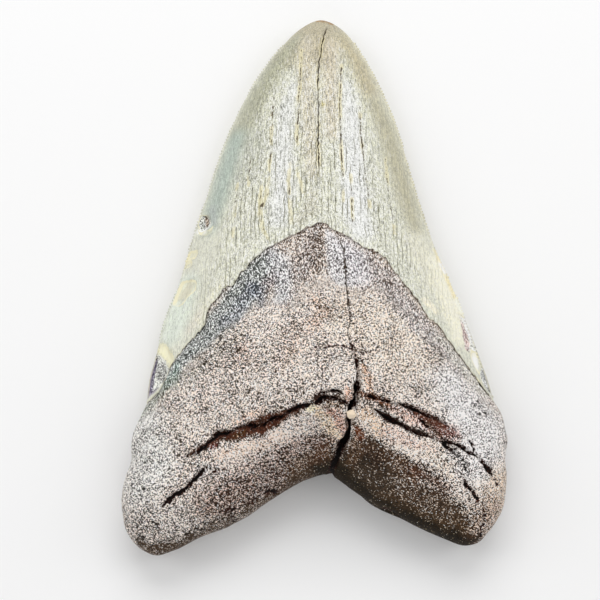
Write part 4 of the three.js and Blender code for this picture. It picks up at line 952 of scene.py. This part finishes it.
# The longest crack of the crown runs from its tip down the middle without a break.
main_at = maths(shade, "ABSOLUTE", read(shade, "beside_main").outputs["Fac"])
main_at = maths(shade, "ADD", main_at, maths(shade, "MULTIPLY", crumble, 0.22))
main_length = maths(shade, "MULTIPLY", between(shade, spot["Y"], 0.016, 0.026), on_enamel)
main_length = maths(shade, "MULTIPLY", main_length, between(shade, spot["Y"], 0.063, 0.0615))
main_flecks = maths(shade, "MULTIPLY", between(shade, main_at, 0.5, 0.25), between(shade, patches, 0.48, 0.56, 0, 0.6))
surface = tint(shade, maths(shade, "MULTIPLY", main_flecks, main_length), surface, rgb(240, 230, 186))
hairline_length = maths(shade, "MULTIPLY", between(shade, spot["Y"], 0.0055, 0.004), on_root)
hairline_length = maths(shade, "MULTIPLY", hairline_length, between(shade, spot["Y"], -0.021, -0.019))
hairline_length = maths(shade, "MULTIPLY", hairline_length, between(shade, patches, 0.4, 0.5, 0.35, 0.9))
main_length = maths(shade, "ADD", main_length, hairline_length)
main_line = maths(shade, "MULTIPLY", between(shade, main_at, 0.19, 0.08), main_length)
surface = tint(shade, main_line, surface, rgb(66, 57, 46))

shade.links.new(surface, principled.inputs["Base Color"])
principled.inputs["Specular IOR Level"].default_value = 0.14
root_rough = between(shade, root_speck["Height"], 0.4, 0.6, 0.8, 0.6)
rough = tint(shade, on_enamel, root_rough, (0.5, 0.5, 0.5, 1))
shade.links.new(rough, principled.inputs["Roughness"])
bump_height = maths(shade, "MULTIPLY", root_speck["Height"], on_root)
bumped = add(shade, "ShaderNodeBump", {"Height": bump_height, "Strength": 0.5, "Distance": 0.0003})
shade.links.new(bumped.outputs[0], principled.inputs["Normal"])


def modifier_input(modifier, label, value):
    """Sets a modifier's input by its socket's identifier."""
    for item in modifier.node_group.interface.items_tree:
        if item.item_type == "SOCKET" and item.in_out == "INPUT" and item.name == label:
            modifier[item.identifier] = value


worked = tooth.modifiers.new("relief", "NODES")
worked.node_group = relief
modifier_input(worked, "Serration Pitch", 0.00078)
modifier_input(worked, "Material", fossil)
evaluated = tooth.evaluated_get(bpy.context.evaluated_depsgraph_get())
tooth_done = bpy.data.meshes.new_from_object(evaluated)
tooth.modifiers.remove(worked)
tooth.data = tooth_done
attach(tooth, "root")
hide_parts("tooth")


# The gravel grain.
# A crumb of pale quartz gravel, about 2 mm across, that the sea washed into the split and wedged there.
# It is a faceted pebble with worn corners.
low, high = (np.array(corner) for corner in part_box("gravel_grain"))
pebble = bmesh.new()
bmesh.ops.create_icosphere(pebble, subdivisions=1, radius=1.0)
for corner in pebble.verts:
    corner.co *= 0.86 + 0.3 * noise.cell(corner.co * 7.3)
hull = bmesh.ops.convex_hull(pebble, input=pebble.verts[:])
bmesh.ops.delete(pebble, geom=[item for item in hull["geom_interior"] if isinstance(item, bmesh.types.BMVert)], context="VERTS")
bmesh.ops.dissolve_limit(pebble, angle_limit=0.3, verts=pebble.verts[:], edges=pebble.edges[:])
bmesh.ops.bevel(pebble, geom=pebble.edges[:], offset=0.07, segments=2, profile=0.6, affect="EDGES")
bmesh.ops.triangulate(pebble, faces=pebble.faces[:])
bmesh.ops.recalc_face_normals(pebble, faces=pebble.faces[:])
pebble_points = np.array([corner.co for corner in pebble.verts])
pebble_low, pebble_high = pebble_points.min(0), pebble_points.max(0)
for corner in pebble.verts:
    share = (np.array(corner.co) - pebble_low) / (pebble_high - pebble_low)
    corner.co = Vector(low + share * (high - low))
pebble_mesh = bpy.data.meshes.new("gravel_grain")
pebble.to_mesh(pebble_mesh)
pebble.free()
gravel = bpy.data.objects.new("gravel_pebble", pebble_mesh)
bpy.context.scene.collection.objects.link(gravel)

quartz = bpy.data.materials.new("quartz_gravel")
quartz.use_nodes = True
quartz_shade = quartz.node_tree
quartz_here = add(quartz_shade, "ShaderNodeTexCoord").outputs["Object"]
quartz_speck = use(quartz_shade, speckle, {
    "Vector": quartz_here, "Tone": rgb(242, 222, 194), "Grain Size": 0.0003, "Sparkle": 0.12, "Matrix Level": 0.3,
})
quartz_shade.links.new(quartz_speck["Color"], quartz_shade.nodes["Principled BSDF"].inputs["Base Color"])
quartz_bump = add(quartz_shade, "ShaderNodeBump", {"Height": quartz_speck["Height"], "Strength": 0.4, "Distance": 0.0001})
quartz_shade.links.new(quartz_bump.outputs[0], quartz_shade.nodes["Principled BSDF"].inputs["Normal"])
quartz_shade.nodes["Principled BSDF"].inputs["Roughness"].default_value = 0.45
pebble_mesh.materials.append(quartz)
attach(gravel, "root")
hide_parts("gravel_grain")


# The studio.
# A pale seamless floor, a broad soft light over the tip and weaker ones at the sides, and the camera that looks
# steeply down on the lingual face, as the photograph's does.
floor_mesh = bpy.data.meshes.new("floor")
reach = 3.0
floor_mesh.from_pydata([(-reach, -reach, 0), (reach, -reach, 0), (reach, reach, 0), (-reach, reach, 0)], [], [(0, 1, 2, 3)])
floor = bpy.data.objects.new("floor", floor_mesh)
bpy.context.scene.collection.objects.link(floor)
paper = bpy.data.materials.new("pale_paper")
paper.use_nodes = True
paper.node_tree.nodes["Principled BSDF"].inputs["Base Color"].default_value = (0.94, 0.94, 0.94, 1)
paper.node_tree.nodes["Principled BSDF"].inputs["Roughness"].default_value = 0.9
floor_mesh.materials.append(paper)


def soft_light(name, place, target, size, watts):
    lamp = bpy.data.lights.new(name, "AREA")
    lamp.shape = "RECTANGLE"
    lamp.size, lamp.size_y = size
    lamp.energy = watts
    holder = bpy.data.objects.new(name, lamp)
    holder.location = place
    holder.rotation_euler = (Vector(target) - Vector(place)).to_track_quat("-Z", "Y").to_euler()
    bpy.context.scene.collection.objects.link(holder)


soft_light("tip_light", (0, 0.55, 0.6), (0, 0, 0), (0.7, 0.4), 2.7)
soft_light("left_light", (-0.55, 0.1, 0.5), (0, 0, 0), (0.3, 0.6), 0.8)
soft_light("right_light", (0.55, 0.1, 0.5), (0, 0, 0), (0.3, 0.6), 0.8)
soft_light("front_light", (-0.1, -0.6, 0.35), (0, 0, 0), (0.7, 0.3), 0.45)

world = bpy.data.worlds.new("studio")
world.use_nodes = True
world.node_tree.nodes["Background"].inputs["Color"].default_value = (1, 1, 1, 1)
world.node_tree.nodes["Background"].inputs["Strength"].default_value = 0.53
bpy.context.scene.world = world
bpy.context.scene.view_settings.view_transform = "Standard"

CAMERA_ELEVATION = np.radians(76)
CAMERA_DISTANCE = 0.34
CAMERA_TARGET = Vector((0, -0.0043, 0.01))
PHOTO_FOCAL = 1461.7  # in pixels of the photograph, which is 600 wide
PHOTO_OFFSET = (15, 11.5)  # the target lies this many pixels right of the photograph's middle, and above it
camera = bpy.data.objects.new("camera", bpy.data.cameras.new("camera"))
camera.data.sensor_width = 36
camera.data.lens = PHOTO_FOCAL * 36 / 600
camera.data.shift_x = -PHOTO_OFFSET[0] / 600
camera.data.shift_y = -PHOTO_OFFSET[1] / 600
camera.data.clip_start = 0.01
backwards = Vector((0, -np.cos(CAMERA_ELEVATION), np.sin(CAMERA_ELEVATION)))
camera.location = CAMERA_TARGET + CAMERA_DISTANCE * backwards
camera.rotation_euler = (-backwards).to_track_quat("-Z", "Y").to_euler()
bpy.context.scene.collection.objects.link(camera)
bpy.context.scene.camera = camera
